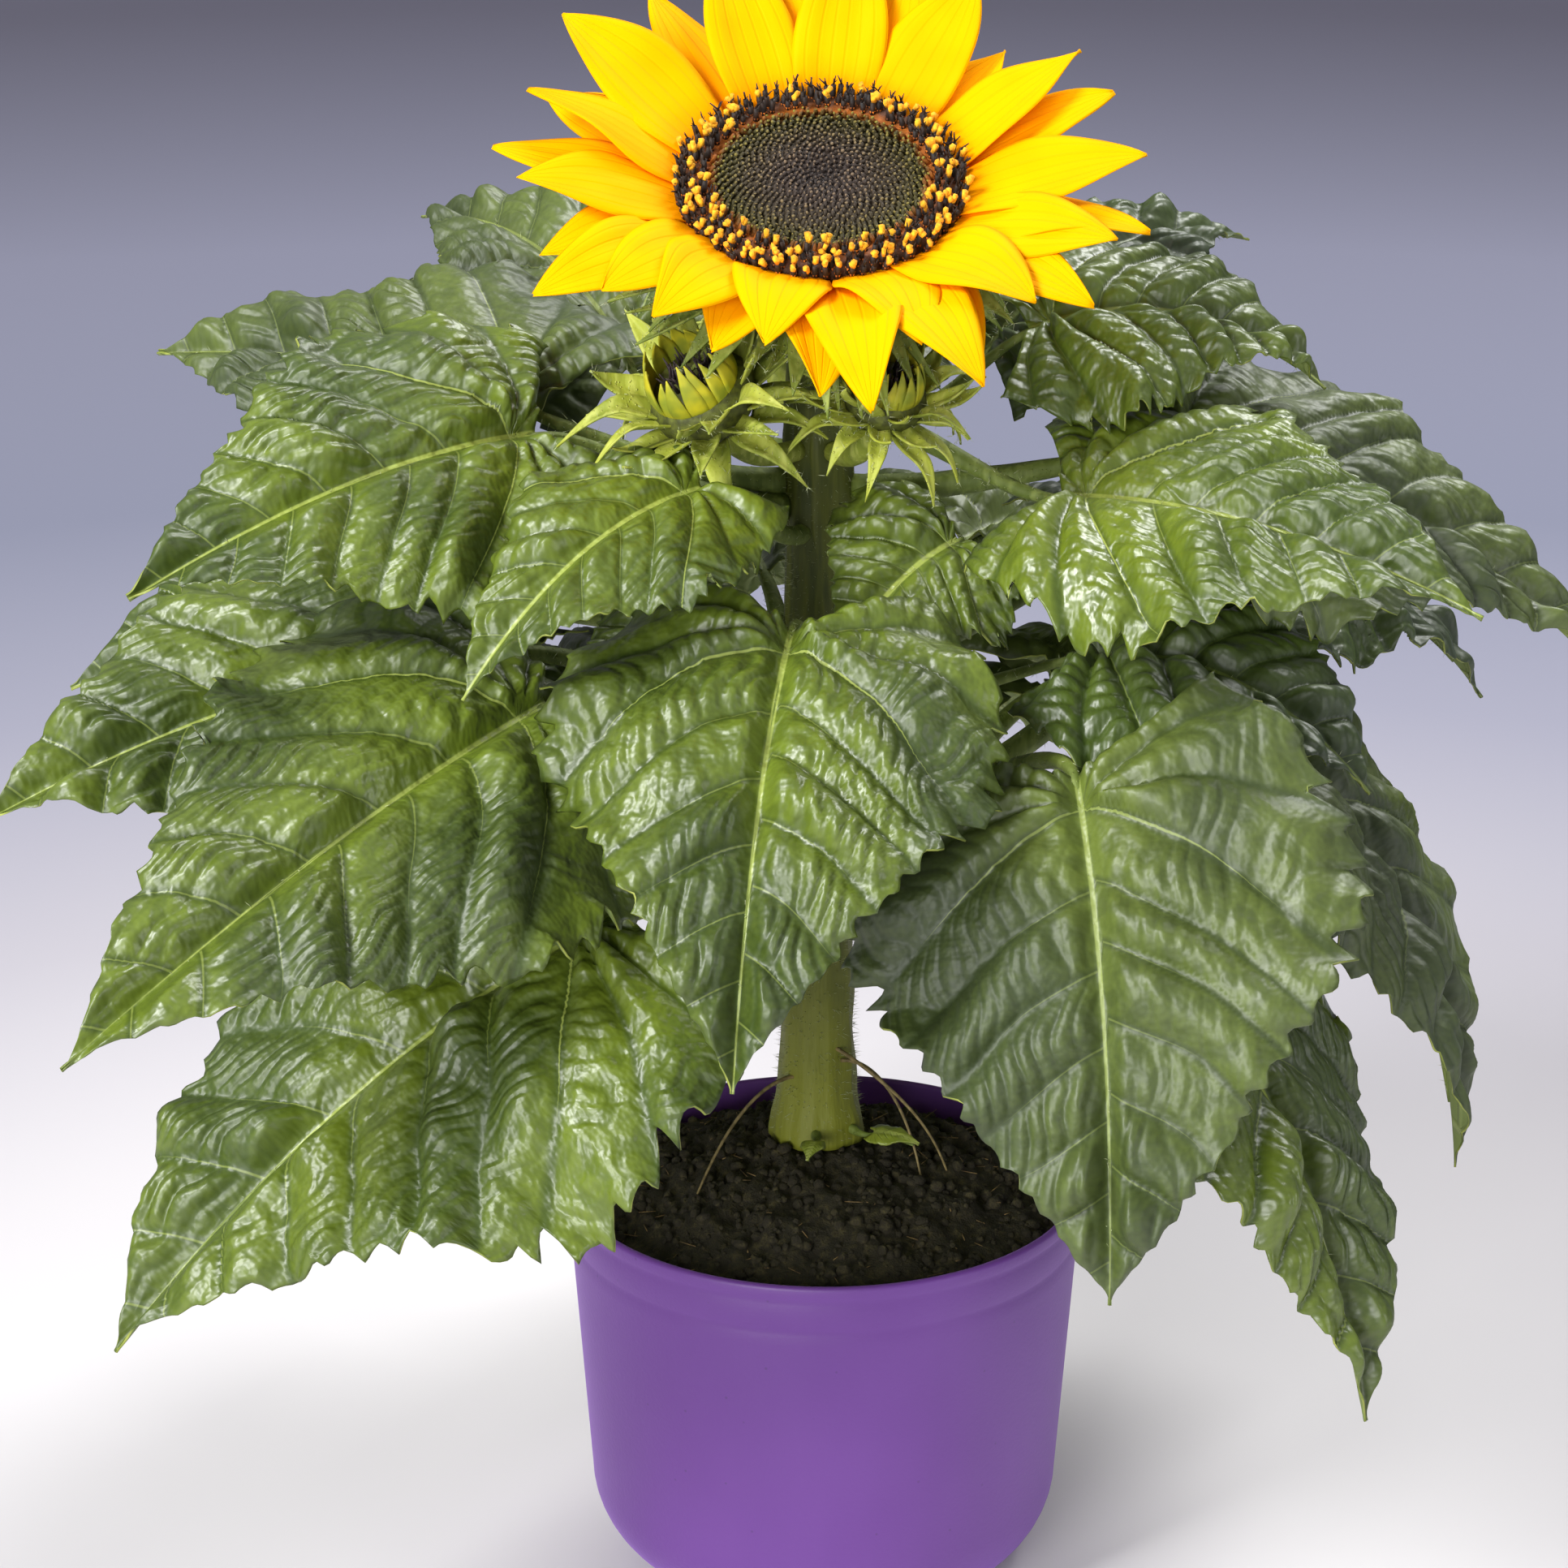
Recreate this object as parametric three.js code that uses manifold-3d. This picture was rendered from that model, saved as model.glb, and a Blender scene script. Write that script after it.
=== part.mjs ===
// Potted dwarf sunflower: a satin pot filled with potting soil, one thick stem, three tiers of
// drooping heart-shaped leaves, one open flower head tilted to the front, and side buds.
//
// Millimetres, +Z up. The origin is the middle of the pot's flat underside, and the flower
// faces -Y. Turns are degrees round the stem, counted from +X towards +Y.

import * as THREE from 'three';
import * as BufferGeometryUtils from 'three/addons/utils/BufferGeometryUtils.js';
import Module from 'manifold-3d';

const wasm = await Module();
wasm.setup();

const UP = new THREE.Vector3( 0, 0, 1 );
const GAP = 0.3;
const FACET_ALLOWANCE = 0.12;

// Pot
const POT_HEIGHT = 110;
const POT_RIM_RADIUS = 70;
const POT_LOW_RADIUS = 64;
const POT_CORNER = 26;
const POT_WALL = 2.2;
const POT_SIDES = 40;

// Soil
const SOIL_EDGE_HEIGHT = 102;
const SOIL_TOP = 117;
const SOIL_FLAT = 16;
const SOIL_SIDES = 24;

// Stem
const STEM_X = - 2;
const STEM_Y = 12;
const STEM_RADIUS_LOW = 10;
const STEM_RADIUS_HIGH = 8;
const STEM_FLARE = 2.5;
const STEM_FLARE_HEIGHT = 16;
const STEM_STRAIGHT_TOP = 322;
const STEM_SIDES = 12;
const STEM_STEPS = 20;

// Flower head
const HEAD_X = - 2;
const HEAD_Y = - 10;
const HEAD_HEIGHT = 383;
const HEAD_TILT = 27;
const DISC_RADIUS = 36;
const DISC_BOTTOM = - 4.3;
const RING_INNER = 16;
const RING_OUTER = 34;
const RING_BOTTOM = - 9;
const CUP_TOP = RING_BOTTOM - GAP;
const CUP_BOTTOM = - 27;
const HEAD_SIDES = 28;
const RAYS_PER_ROW = 16;
const RAY_LENGTH = 53;
const RAY_WIDTH = 21;
const RAY_THICKNESS = 0.9;
const RAY_LIFT_BACK = 30;
const RAY_LIFT_FRONT = 8;
const RAY_ROW_STEP = 9;
const RAY_BEND = 0.1;
const STRAP_CUP = 0.12;
const CUP_BRACTS = 14;
const CUP_BRACT_LENGTH = 24;
const CUP_BRACT_WIDTH = 9;
const CUP_BRACT_DROP = 18;
const BRACT_THICKNESS = 1;

// Side buds, whose bracts are sized as fractions of a bud's radius
const BUD_BRACTS = 9;
const BUD_BRACT_LENGTH = 1.7;
const BUD_BRACT_WIDTH = 0.7;
const BUD_BRACT_BEND = - 0.16;
const BUD_FLATTEN = 0.8;
const BUD_STALK_RADIUS = 3;

// Leaf blades, as fractions of a leaf's own length or width
const LEAF_ROWS = 10;
const LEAF_COLUMNS = 4;
const LEAF_THICKNESS = 1 / 78;
const LEAF_LOBE = 0.16;
const LEAF_TOOTH = 0.1;
const LEAF_TEETH = LEAF_ROWS / 2;
const LEAF_FOLD = 0.2;
const LEAF_CURL = 0.42;
const LEAF_WAVE = 0.045;
const LEAF_WAVES = 2.5;
const LEAF_TIP_HALF_WIDTH = 0.6;
const LEAF_LEAST_THICKNESS = 0.9;
const PETIOLE_RADIUS = 1 / 68;
const PETIOLE_LEAST_RADIUS = 0.8;
const PETIOLE_SIDES = 5;
const PETIOLE_STEPS = 5;

// Each leaf: its name, the height at which its stalk leaves the stem, then the turn, reach from
// the stem and height of the blade's base and of its tip, the blade's greatest width, how far its
// midrib arches over the straight line from base to tip, how far it sways to its right, and the
// degrees that its right half is rolled down, seen from base to tip.
const LEAVES = [
	// Upper tier, round the flower
	[ 'leaf_top_left', 296, [ - 160, 76, 322 ], [ - 153, 188, 296 ], 98, 8, - 4, - 40 ],
	[ 'leaf_top_left_back', 302, [ - 176, 72, 322 ], [ 163, 186, 323 ], 96, 6, 0, - 32 ],
	[ 'leaf_top_back_left', 308, [ 140, 64, 322 ], [ 134, 160, 348 ], 84, 14, 0, - 16 ],
	[ 'leaf_top_back', 304, [ 94, 64, 314 ], [ 92, 172, 304 ], 96, 16, 0, 0 ],
	[ 'leaf_top_back_right', 310, [ 44, 62, 326 ], [ 38, 152, 346 ], 84, 14, 0, 14 ],
	[ 'leaf_top_right_upper', 312, [ 2, 54, 342 ], [ 2, 132, 326 ], 82, 12, 0, 22 ],
	[ 'leaf_top_right_back', 300, [ - 6, 84, 312 ], [ 0, 204, 254 ], 98, 14, 3, 32 ],
	[ 'leaf_top_right', 322, [ - 32, 71, 309 ], [ - 30, 184, 294 ], 92, 8, 3, 26 ],
	[ 'leaf_top_front_left', 290, [ - 119, 60, 315 ], [ - 131, 132, 275 ], 64, 11, - 3, - 18 ],

	// Middle tier
	[ 'leaf_mid_left_back', 262, [ - 179, 79, 269 ], [ - 177, 196, 249 ], 104, 9, 0, - 32 ],
	[ 'leaf_mid_left', 246, [ - 161, 86, 266 ], [ - 159, 222, 237 ], 116, 9, - 4, - 37 ],
	[ 'leaf_mid_front_left', 238, [ - 141, 88, 260 ], [ - 136, 244, 209 ], 120, 9, - 6, - 33 ],
	[ 'leaf_mid_front_inner', 246, [ - 120, 46, 271 ], [ - 134, 86, 259 ], 60, 6, 0, - 24 ],
	[ 'leaf_mid_front', 252, [ - 96, 68, 283 ], [ - 98, 152, 194 ], 118, 14, 0, - 6 ],
	[ 'leaf_mid_front_right', 268, [ - 40, 46, 295 ], [ - 84, 54, 271 ], 60, 4, 0, - 30 ],
	[ 'leaf_mid_right', 244, [ - 28, 76, 266 ], [ - 24, 152, 238 ], 96, 12, 0, 18 ],
	[ 'leaf_mid_right_back', 250, [ 22, 87, 275 ], [ 20, 200, 221 ], 112, 18, 0, 18 ],
	[ 'leaf_mid_back_right', 242, [ 60, 82, 266 ], [ 58, 208, 204 ], 116, 18, 0, 8 ],
	[ 'leaf_mid_back', 236, [ 100, 82, 254 ], [ 99, 208, 192 ], 116, 18, 0, 0 ],
	[ 'leaf_mid_back_left', 248, [ 142, 80, 272 ], [ 142, 206, 214 ], 116, 18, 0, - 10 ],

	// Lower tier, hanging over the pot
	[ 'leaf_low_front_left', 196, [ - 122, 95, 213 ], [ - 145, 214, 113 ], 144, 10, 0, - 28 ],
	[ 'leaf_low_front_right', 214, [ - 52, 102, 249 ], [ - 63, 154, 132 ], 134, 16, 0, 20 ],
	[ 'leaf_low_right', 186, [ - 34, 98, 206 ], [ - 38, 176, 86 ], 104, 14, 0, - 4 ],
	[ 'leaf_low_right_back', 206, [ 0, 90, 248 ], [ - 8, 174, 118 ], 118, 24, 0, 6 ],
	[ 'leaf_low_back_right', 194, [ 42, 90, 228 ], [ 42, 194, 126 ], 118, 24, 0, 6 ],
	[ 'leaf_low_back', 188, [ 84, 90, 216 ], [ 84, 198, 122 ], 120, 24, 0, 0 ],
	[ 'leaf_low_back_left', 196, [ 126, 90, 228 ], [ 128, 198, 128 ], 118, 24, 0, - 6 ],
	[ 'leaf_low_left', 204, [ 168, 88, 236 ], [ 172, 178, 143 ], 112, 24, 0, - 12 ],

	// Seed leaves at the foot of the stem
	[ 'seed_leaf_right', 122, [ - 40, 20, 123 ], [ - 34, 33, 122 ], 9, 1, 0, 14 ],
	[ 'seed_leaf_front', 122, [ - 92, 19, 123 ], [ - 96, 27, 121 ], 7, 1, 0, 0 ],
].map( ( [ name, joint, base, tip, width, arch, sway, roll ] ) => {

	return { name, joint, base, tip, width, arch, sway, roll };

} );

// Each bud: its name, the height at which its stalk leaves the stem, the turn, reach and height
// of the bud's middle, its radius, and how far it leans out from upright, in degrees.
const BUDS = [
	[ 'bud_left', 312, - 130, 46, 334, 13, 38 ],
	[ 'bud_right', 312, - 66, 40, 334, 11, 30 ],
	[ 'bud_back', 314, 112, 40, 342, 11, 26 ],
].map( ( [ name, joint, turn, reach, height, radius, lean ] ) => {

	return { name, joint, turn, reach, height, radius, lean };

} );

const finishes = {
	pot: new THREE.MeshStandardMaterial( { color: 0x784e9a, roughness: 0.45, metalness: 0 } ),
	soil: new THREE.MeshStandardMaterial( { color: 0x211e17, roughness: 1, metalness: 0 } ),
	stem: new THREE.MeshStandardMaterial( { color: 0x777c2e, roughness: 0.7, metalness: 0 } ),
	leaf: new THREE.MeshStandardMaterial( { color: 0x6d7e4b, roughness: 0.5, metalness: 0 } ),
	ray: new THREE.MeshStandardMaterial( { color: 0xf7d608, roughness: 0.55, metalness: 0 } ),
	disc: new THREE.MeshStandardMaterial( { color: 0x4f4338, roughness: 0.9, metalness: 0 } ),
	bract: new THREE.MeshStandardMaterial( { color: 0x8d9a4a, roughness: 0.7, metalness: 0 } ),
};

// Moves every vertex of a closed geometry to where the map sends it, and joins the shared ones
function reshape( geometry, map ) {

	const position = geometry.attributes.position;
	const vertex = new THREE.Vector3();
	for ( let i = 0; i < position.count; i ++ ) {

		const moved = map( vertex.fromBufferAttribute( position, i ) );
		position.setXYZ( i, moved.x, moved.y, moved.z );

	}

	return weld( geometry );

}

function weld( geometry ) {

	geometry.deleteAttribute( 'normal' );
	geometry.deleteAttribute( 'uv' );
	return BufferGeometryUtils.mergeVertices( geometry, 1e-5 );

}

function toSolid( geometry ) {

	return new wasm.Manifold( new wasm.Mesh( {
		numProp: 3,
		vertProperties: new Float32Array( geometry.attributes.position.array ),
		triVerts: new Uint32Array( geometry.index.array ),
	} ) );

}

function toGeometry( solid ) {

	const { vertProperties, triVerts } = solid.getMesh();
	const geometry = new THREE.BufferGeometry();
	geometry.setAttribute( 'position', new THREE.BufferAttribute( vertProperties, 3 ) );
	geometry.setIndex( new THREE.BufferAttribute( triVerts, 1 ) );
	return geometry;

}

// Joins closed geometries that run into each other into one closed body
function fuse( geometries ) {

	const [ first, ...others ] = geometries.map( toSolid );
	return toGeometry( others.reduce( ( whole, solid ) => whole.add( solid ), first ) );

}

// A closed round body along a curve, whose radius follows how far along it is, from 0 to 1
function taperedTube( curve, radiusAt, sides, steps ) {

	const frames = curve.computeFrenetFrames( steps, false );
	return reshape( new THREE.CylinderGeometry( 1, 1, 1, sides, steps ), ( vertex ) => {

		const along = THREE.MathUtils.clamp( vertex.y + 0.5, 0, 1 );
		const step = Math.round( along * steps );
		const radius = radiusAt( along );
		return curve.getPointAt( along )
			.addScaledVector( frames.normals[ step ], vertex.z * radius )
			.addScaledVector( frames.binormals[ step ], vertex.x * radius );

	} );

}

// A closed body of revolution round +Z from a profile of [radius, height] pairs
function turned( profile, sides ) {

	const points = profile.map( ( [ radius, height ] ) => new THREE.Vector2( radius, height ) );
	const geometry = new THREE.LatheGeometry( points, sides );
	geometry.rotateX( Math.PI / 2 );
	return weld( geometry );

}

function aroundStem( turn, reach, height ) {

	const angle = THREE.MathUtils.degToRad( turn );
	return new THREE.Vector3( STEM_X + reach * Math.cos( angle ), STEM_Y + reach * Math.sin( angle ), height );

}

function potGeometry() {

	const corner = ( radius, height, size, steps ) => {

		const points = [];
		for ( let i = 0; i <= steps; i ++ ) {

			const angle = i / steps * Math.PI / 2;
			points.push( [ radius - size + size * Math.sin( angle ), height + size - size * Math.cos( angle ) ] );

		}

		return points;

	};

	const outer = corner( POT_LOW_RADIUS, 0, POT_CORNER, 5 );
	const inner = corner( POT_LOW_RADIUS - POT_WALL, POT_WALL, POT_CORNER - POT_WALL, 5 );
	return turned( [
		[ 0, 0 ], ...outer,
		[ POT_RIM_RADIUS, POT_HEIGHT ], [ POT_RIM_RADIUS - POT_WALL, POT_HEIGHT ],
		...inner.reverse(), [ 0, POT_WALL ],
	], POT_SIDES );

}

function soilGeometry() {

	const floor = POT_WALL + GAP;
	const lowRadius = POT_LOW_RADIUS - POT_WALL - GAP;
	const size = POT_CORNER - POT_WALL - GAP;
	const slope = ( POT_RIM_RADIUS - POT_LOW_RADIUS ) / ( POT_HEIGHT - POT_CORNER );
	const edgeRadius = lowRadius + slope * ( SOIL_EDGE_HEIGHT - POT_CORNER ) - 2 * GAP;
	const lip = 0.5 * ( edgeRadius + SOIL_FLAT );
	const profile = [ [ 0, floor ], [ lowRadius - size, floor ], [ lowRadius - size * 0.35, floor + size * 0.3 ] ];
	profile.push( [ lowRadius - 2 * GAP, floor + size ], [ edgeRadius, SOIL_EDGE_HEIGHT ] );
	profile.push( [ lip, 0.45 * SOIL_EDGE_HEIGHT + 0.55 * SOIL_TOP ], [ SOIL_FLAT, SOIL_TOP ], [ 0, SOIL_TOP ] );
	return reshape( turned( profile, SOIL_SIDES ), ( vertex ) => {

		// The mound stands round the stem, a little off the pot's middle
		if ( vertex.z > SOIL_EDGE_HEIGHT ) {

			const shift = 1 - Math.hypot( vertex.x, vertex.y ) / edgeRadius;
			const amount = Math.min( 1, shift / ( 1 - SOIL_FLAT / edgeRadius ) );
			vertex.x += STEM_X * amount;
			vertex.y += STEM_Y * amount;

		}

		return vertex;

	} );

}

// The flower head stands on its own tilted frame: this takes a point of that frame to the plant
function headPoint( x, y, z ) {

	return new THREE.Vector3( x, y, z )
		.applyAxisAngle( new THREE.Vector3( 1, 0, 0 ), THREE.MathUtils.degToRad( HEAD_TILT ) )
		.add( new THREE.Vector3( HEAD_X, HEAD_Y, HEAD_HEIGHT ) );

}

function stemGeometry() {

	const foot = SOIL_TOP + GAP;
	const top = headPoint( 0, 0, CUP_BOTTOM - GAP );
	const below = headPoint( 0, 0, CUP_BOTTOM - 26 );
	const curve = new THREE.CatmullRomCurve3( [
		new THREE.Vector3( STEM_X, STEM_Y, foot ),
		new THREE.Vector3( STEM_X, STEM_Y, foot + 1 ),
		new THREE.Vector3( STEM_X, STEM_Y, 0.5 * ( foot + STEM_STRAIGHT_TOP ) ),
		new THREE.Vector3( STEM_X, STEM_Y, STEM_STRAIGHT_TOP - 12 ),
		new THREE.Vector3( STEM_X, STEM_Y, STEM_STRAIGHT_TOP ),
		below,
		top,
	] );
	const length = curve.getLength();
	const radiusAt = ( along ) => {

		const flare = STEM_FLARE * Math.exp( - along * length / STEM_FLARE_HEIGHT );
		return THREE.MathUtils.lerp( STEM_RADIUS_LOW, STEM_RADIUS_HIGH, along ) + flare;

	};

	return taperedTube( curve, radiusAt, STEM_SIDES, STEM_STEPS );

}

// Half width of a blade as a share of its greatest, from its base at 0 to its tip at 1
function bladeOutline( u ) {

	return Math.pow( 1 - u, 1.4 ) * ( 0.6 + 3.6 * u ) / 1.02;

}

// A leaf with its midrib and length, which the blade's points are worked out from
function leafForm( leaf, index ) {

	const base = aroundStem( ...leaf.base );
	const tip = aroundStem( ...leaf.tip );
	const chord = tip.clone().sub( base );
	const side = new THREE.Vector3().crossVectors( chord, UP ).normalize();
	const lift = new THREE.Vector3().crossVectors( side, chord ).normalize();
	const middle = base.clone().lerp( tip, 0.45 )
		.addScaledVector( lift, 2 * leaf.arch )
		.addScaledVector( side, 2 * leaf.sway );
	const midrib = new THREE.QuadraticBezierCurve3( base, middle, tip );
	return { ...leaf, midrib, length: midrib.getLength(), phase: 1.7 * index };

}

// A point on or beside the blade: across from -1 to 1, along from 0 to 1, height off its middle
function bladePoint( form, across, along, height ) {

	const reach = Math.abs( across );
	const tooth = 0.5 - 0.5 * Math.cos( 2 * Math.PI * LEAF_TEETH * along );
	const notch = 1 - LEAF_TOOTH * ( 1 - tooth ) * Math.pow( reach, 4 );
	const half = Math.max( LEAF_TIP_HALF_WIDTH, 0.5 * form.width * bladeOutline( along ) * notch );
	const sideways = across * half;
	const place = along - LEAF_LOBE * Math.pow( 1 - along, 3 ) * Math.pow( reach, 1.6 );
	const inside = Math.max( 0, place );
	const point = form.midrib.getPoint( inside );
	const forward = form.midrib.getTangent( inside );
	const side = new THREE.Vector3().crossVectors( forward, UP ).normalize();
	side.applyAxisAngle( forward, THREE.MathUtils.degToRad( form.roll ) );
	const normal = new THREE.Vector3().crossVectors( side, forward );
	const wave = Math.sin( 2 * Math.PI * LEAF_WAVES * along + form.phase + ( across > 0 ? 0 : 2 ) );
	const rise = LEAF_FOLD * Math.abs( sideways )
		- LEAF_CURL * sideways * sideways / ( 0.5 * form.width )
		+ LEAF_WAVE * form.width * wave * reach * reach * bladeOutline( along );
	return point
		.addScaledVector( forward, ( place - inside ) * form.length )
		.addScaledVector( side, sideways )
		.addScaledVector( normal, rise + height );

}

function leafGeometry( form ) {

	const thickness = Math.max( LEAF_LEAST_THICKNESS, LEAF_THICKNESS * form.length );
	const blade = reshape( new THREE.BoxGeometry( 2, 1, 1, LEAF_COLUMNS, LEAF_ROWS, 1 ), ( vertex ) => {

		return bladePoint( form, vertex.x, vertex.y + 0.5, vertex.z * thickness );

	} );

	const radius = Math.max( PETIOLE_LEAST_RADIUS, PETIOLE_RADIUS * form.length );
	const [ turn, reach ] = form.base;
	const foot = stemRadius( form.joint ) + GAP;
	const start = aroundStem( turn, foot, form.joint );
	const out = aroundStem( turn, THREE.MathUtils.lerp( foot, reach, 0.35 ), form.joint );
	const end = bladePoint( form, 0, 0.1, - 0.4 * radius );
	const into = bladePoint( form, 0, 0, - 0.4 * radius )
		.addScaledVector( form.midrib.getTangent( 0 ), - 0.22 * reach );
	const stalk = taperedTube(
		new THREE.CubicBezierCurve3( start, out, into, end ),
		( along ) => radius * ( 1.15 - 0.45 * along ), PETIOLE_SIDES, PETIOLE_STEPS,
	);
	return fuse( [ blade, stalk ] );

}

// The stem's radius at a height, with a little room for its flat facets
function stemRadius( height ) {

	const above = height - SOIL_TOP;
	const along = above / ( HEAD_HEIGHT - SOIL_TOP );
	return THREE.MathUtils.lerp( STEM_RADIUS_LOW, STEM_RADIUS_HIGH, along )
		+ STEM_FLARE * Math.exp( - above / STEM_FLARE_HEIGHT ) + FACET_ALLOWANCE;

}

// A pointed strap, such as a ray floret or a bract, that grows along +Y of its own frame
function strap( length, width, thickness, bend, columns, rows ) {

	return reshape( new THREE.BoxGeometry( 2, 1, 1, columns, rows, 1 ), ( vertex ) => {

		const along = vertex.y + 0.5;
		const swell = Math.sin( Math.PI * Math.pow( 0.1 + 0.9 * along, 0.9 ) );
		const half = 0.5 * width * Math.max( 0.04, Math.pow( swell, 0.7 ) );
		const across = vertex.x * half;
		const rise = - bend * length * along * along + STRAP_CUP * Math.abs( across );
		return new THREE.Vector3( across, along * length, rise + vertex.z * thickness );

	} );

}

// Places a strap on a ring: turned round +Z, lifted from level, its foot at a radius and height
function onRing( geometry, turn, lift, radius, height ) {

	geometry.rotateX( THREE.MathUtils.degToRad( lift ) );
	geometry.translate( 0, radius, height );
	geometry.rotateZ( THREE.MathUtils.degToRad( turn ) );
	return geometry;

}

// Degrees that a ray rises over level in the head's frame: the back ones stand, the front ones hang
function rayLift( turn ) {

	const back = 0.5 + 0.5 * Math.cos( THREE.MathUtils.degToRad( turn ) );
	return THREE.MathUtils.lerp( RAY_LIFT_FRONT, RAY_LIFT_BACK, back );

}

function raysGeometry() {

	const parts = [ turned( [
		[ RING_INNER, RING_BOTTOM ], [ RING_OUTER, RING_BOTTOM ],
		[ RING_OUTER, DISC_BOTTOM - GAP ], [ RING_INNER, DISC_BOTTOM - GAP ], [ RING_INNER, RING_BOTTOM ],
	], HEAD_SIDES ) ];
	for ( let row = 0; row < 2; row ++ ) {

		for ( let i = 0; i < RAYS_PER_ROW; i ++ ) {

			const turn = ( i + 0.5 * row ) * 360 / RAYS_PER_ROW;
			const lift = rayLift( turn ) - RAY_ROW_STEP * row;
			const length = RAY_LENGTH * ( 1 + 0.05 * Math.sin( 2.4 * i + row ) );
			const ray = strap( length, RAY_WIDTH, RAY_THICKNESS, RAY_BEND, 2, 3 );
			parts.push( onRing( ray, turn, lift, RING_OUTER - 2, RING_BOTTOM + 2 - 1.1 * row ) );

		}

	}

	return fuse( parts );

}

function discGeometry() {

	return turned( [
		[ 0, DISC_BOTTOM ], [ DISC_RADIUS - 3, DISC_BOTTOM ], [ DISC_RADIUS, 0 ],
		[ DISC_RADIUS - 1, 5 ], [ DISC_RADIUS - 7, 6.5 ], [ DISC_RADIUS - 11, 4 ], [ 14, 6 ], [ 0, 5 ],
	], HEAD_SIDES );

}

function cupGeometry() {

	const parts = [ turned( [
		[ 0, CUP_BOTTOM ], [ 9, CUP_BOTTOM ], [ 17, CUP_BOTTOM + 5 ],
		[ 27, CUP_TOP - 6 ], [ 32, CUP_TOP ], [ 0, CUP_TOP ],
	], HEAD_SIDES ) ];
	for ( let i = 0; i < CUP_BRACTS; i ++ ) {

		const turn = i * 360 / CUP_BRACTS;
		const lift = rayLift( turn ) - CUP_BRACT_DROP + 5 * Math.sin( 2.4 * i );
		const bract = strap( CUP_BRACT_LENGTH, CUP_BRACT_WIDTH, BRACT_THICKNESS, RAY_BEND, 1, 2 );
		parts.push( onRing( bract, turn, lift, 26, CUP_TOP - 4 ) );

	}

	return fuse( parts );

}

function budGeometry( bud ) {

	const { radius } = bud;
	const body = new THREE.SphereGeometry( radius, 10, 6 );
	body.rotateX( Math.PI / 2 );
	body.scale( 1, 1, BUD_FLATTEN );
	const parts = [ weld( body ) ];
	const length = BUD_BRACT_LENGTH * radius;
	const width = BUD_BRACT_WIDTH * radius;
	for ( let i = 0; i < BUD_BRACTS; i ++ ) {

		const lift = 22 + 20 * Math.sin( 2.1 * i );
		const bract = strap( length, width, BRACT_THICKNESS, BUD_BRACT_BEND, 1, 2 );
		parts.push( onRing( bract, i * 360 / BUD_BRACTS, lift, 0.55 * radius, - 0.6 * radius ) );

	}

	const lean = THREE.MathUtils.degToRad( bud.lean );
	const turn = THREE.MathUtils.degToRad( bud.turn );
	const middle = aroundStem( bud.turn, bud.reach, bud.height );
	const axis = new THREE.Vector3( - Math.sin( turn ), Math.cos( turn ), 0 );
	for ( const part of parts ) {

		part.applyMatrix4( new THREE.Matrix4().makeRotationAxis( axis, lean ) );
		part.translate( middle.x, middle.y, middle.z );

	}

	const foot = stemRadius( bud.joint ) + GAP;
	const start = aroundStem( bud.turn, foot, bud.joint );
	const out = aroundStem( bud.turn, THREE.MathUtils.lerp( foot, bud.reach, 0.5 ), bud.joint );
	const down = new THREE.Vector3( 0, 0, - 1 ).applyAxisAngle( axis, lean );
	const end = middle.clone().addScaledVector( down, 0.5 * radius );
	const into = middle.clone().addScaledVector( down, 1.3 * radius );
	const stalk = new THREE.CubicBezierCurve3( start, out, into, end );
	parts.push( taperedTube( stalk, () => BUD_STALK_RADIUS, PETIOLE_SIDES + 1, PETIOLE_STEPS ) );
	return fuse( parts );

}

function piece( name, geometry, material ) {

	const mesh = new THREE.Mesh( geometry, material );
	mesh.name = name;
	return mesh;

}

const plant = new THREE.Group();

plant.add( piece( 'pot', potGeometry(), finishes.pot ) );
plant.add( piece( 'soil', soilGeometry(), finishes.soil ) );
plant.add( piece( 'stem', stemGeometry(), finishes.stem ) );

const head = new THREE.Group();
head.position.set( HEAD_X, HEAD_Y, HEAD_HEIGHT );
head.rotation.x = THREE.MathUtils.degToRad( HEAD_TILT );
head.add( piece( 'flower_disc', discGeometry(), finishes.disc ) );
head.add( piece( 'flower_rays', raysGeometry(), finishes.ray ) );
head.add( piece( 'flower_cup', cupGeometry(), finishes.bract ) );
plant.add( head );

for ( const bud of BUDS ) {

	plant.add( piece( bud.name, budGeometry( bud ), finishes.bract ) );

}

LEAVES.forEach( ( leaf, index ) => {

	plant.add( piece( leaf.name, leafGeometry( leafForm( leaf, index ) ), finishes.leaf ) );

} );

export default plant;
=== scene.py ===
"""Dresses the potted sunflower: the plastic pot, its soil, the hairy stem, the leaves and the flower."""

import logging
import math
from collections.abc import Callable, Sequence
from dataclasses import dataclass, field
from enum import Enum

import bmesh
import bpy
import numpy as np
from mathutils import Matrix, Vector

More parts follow.
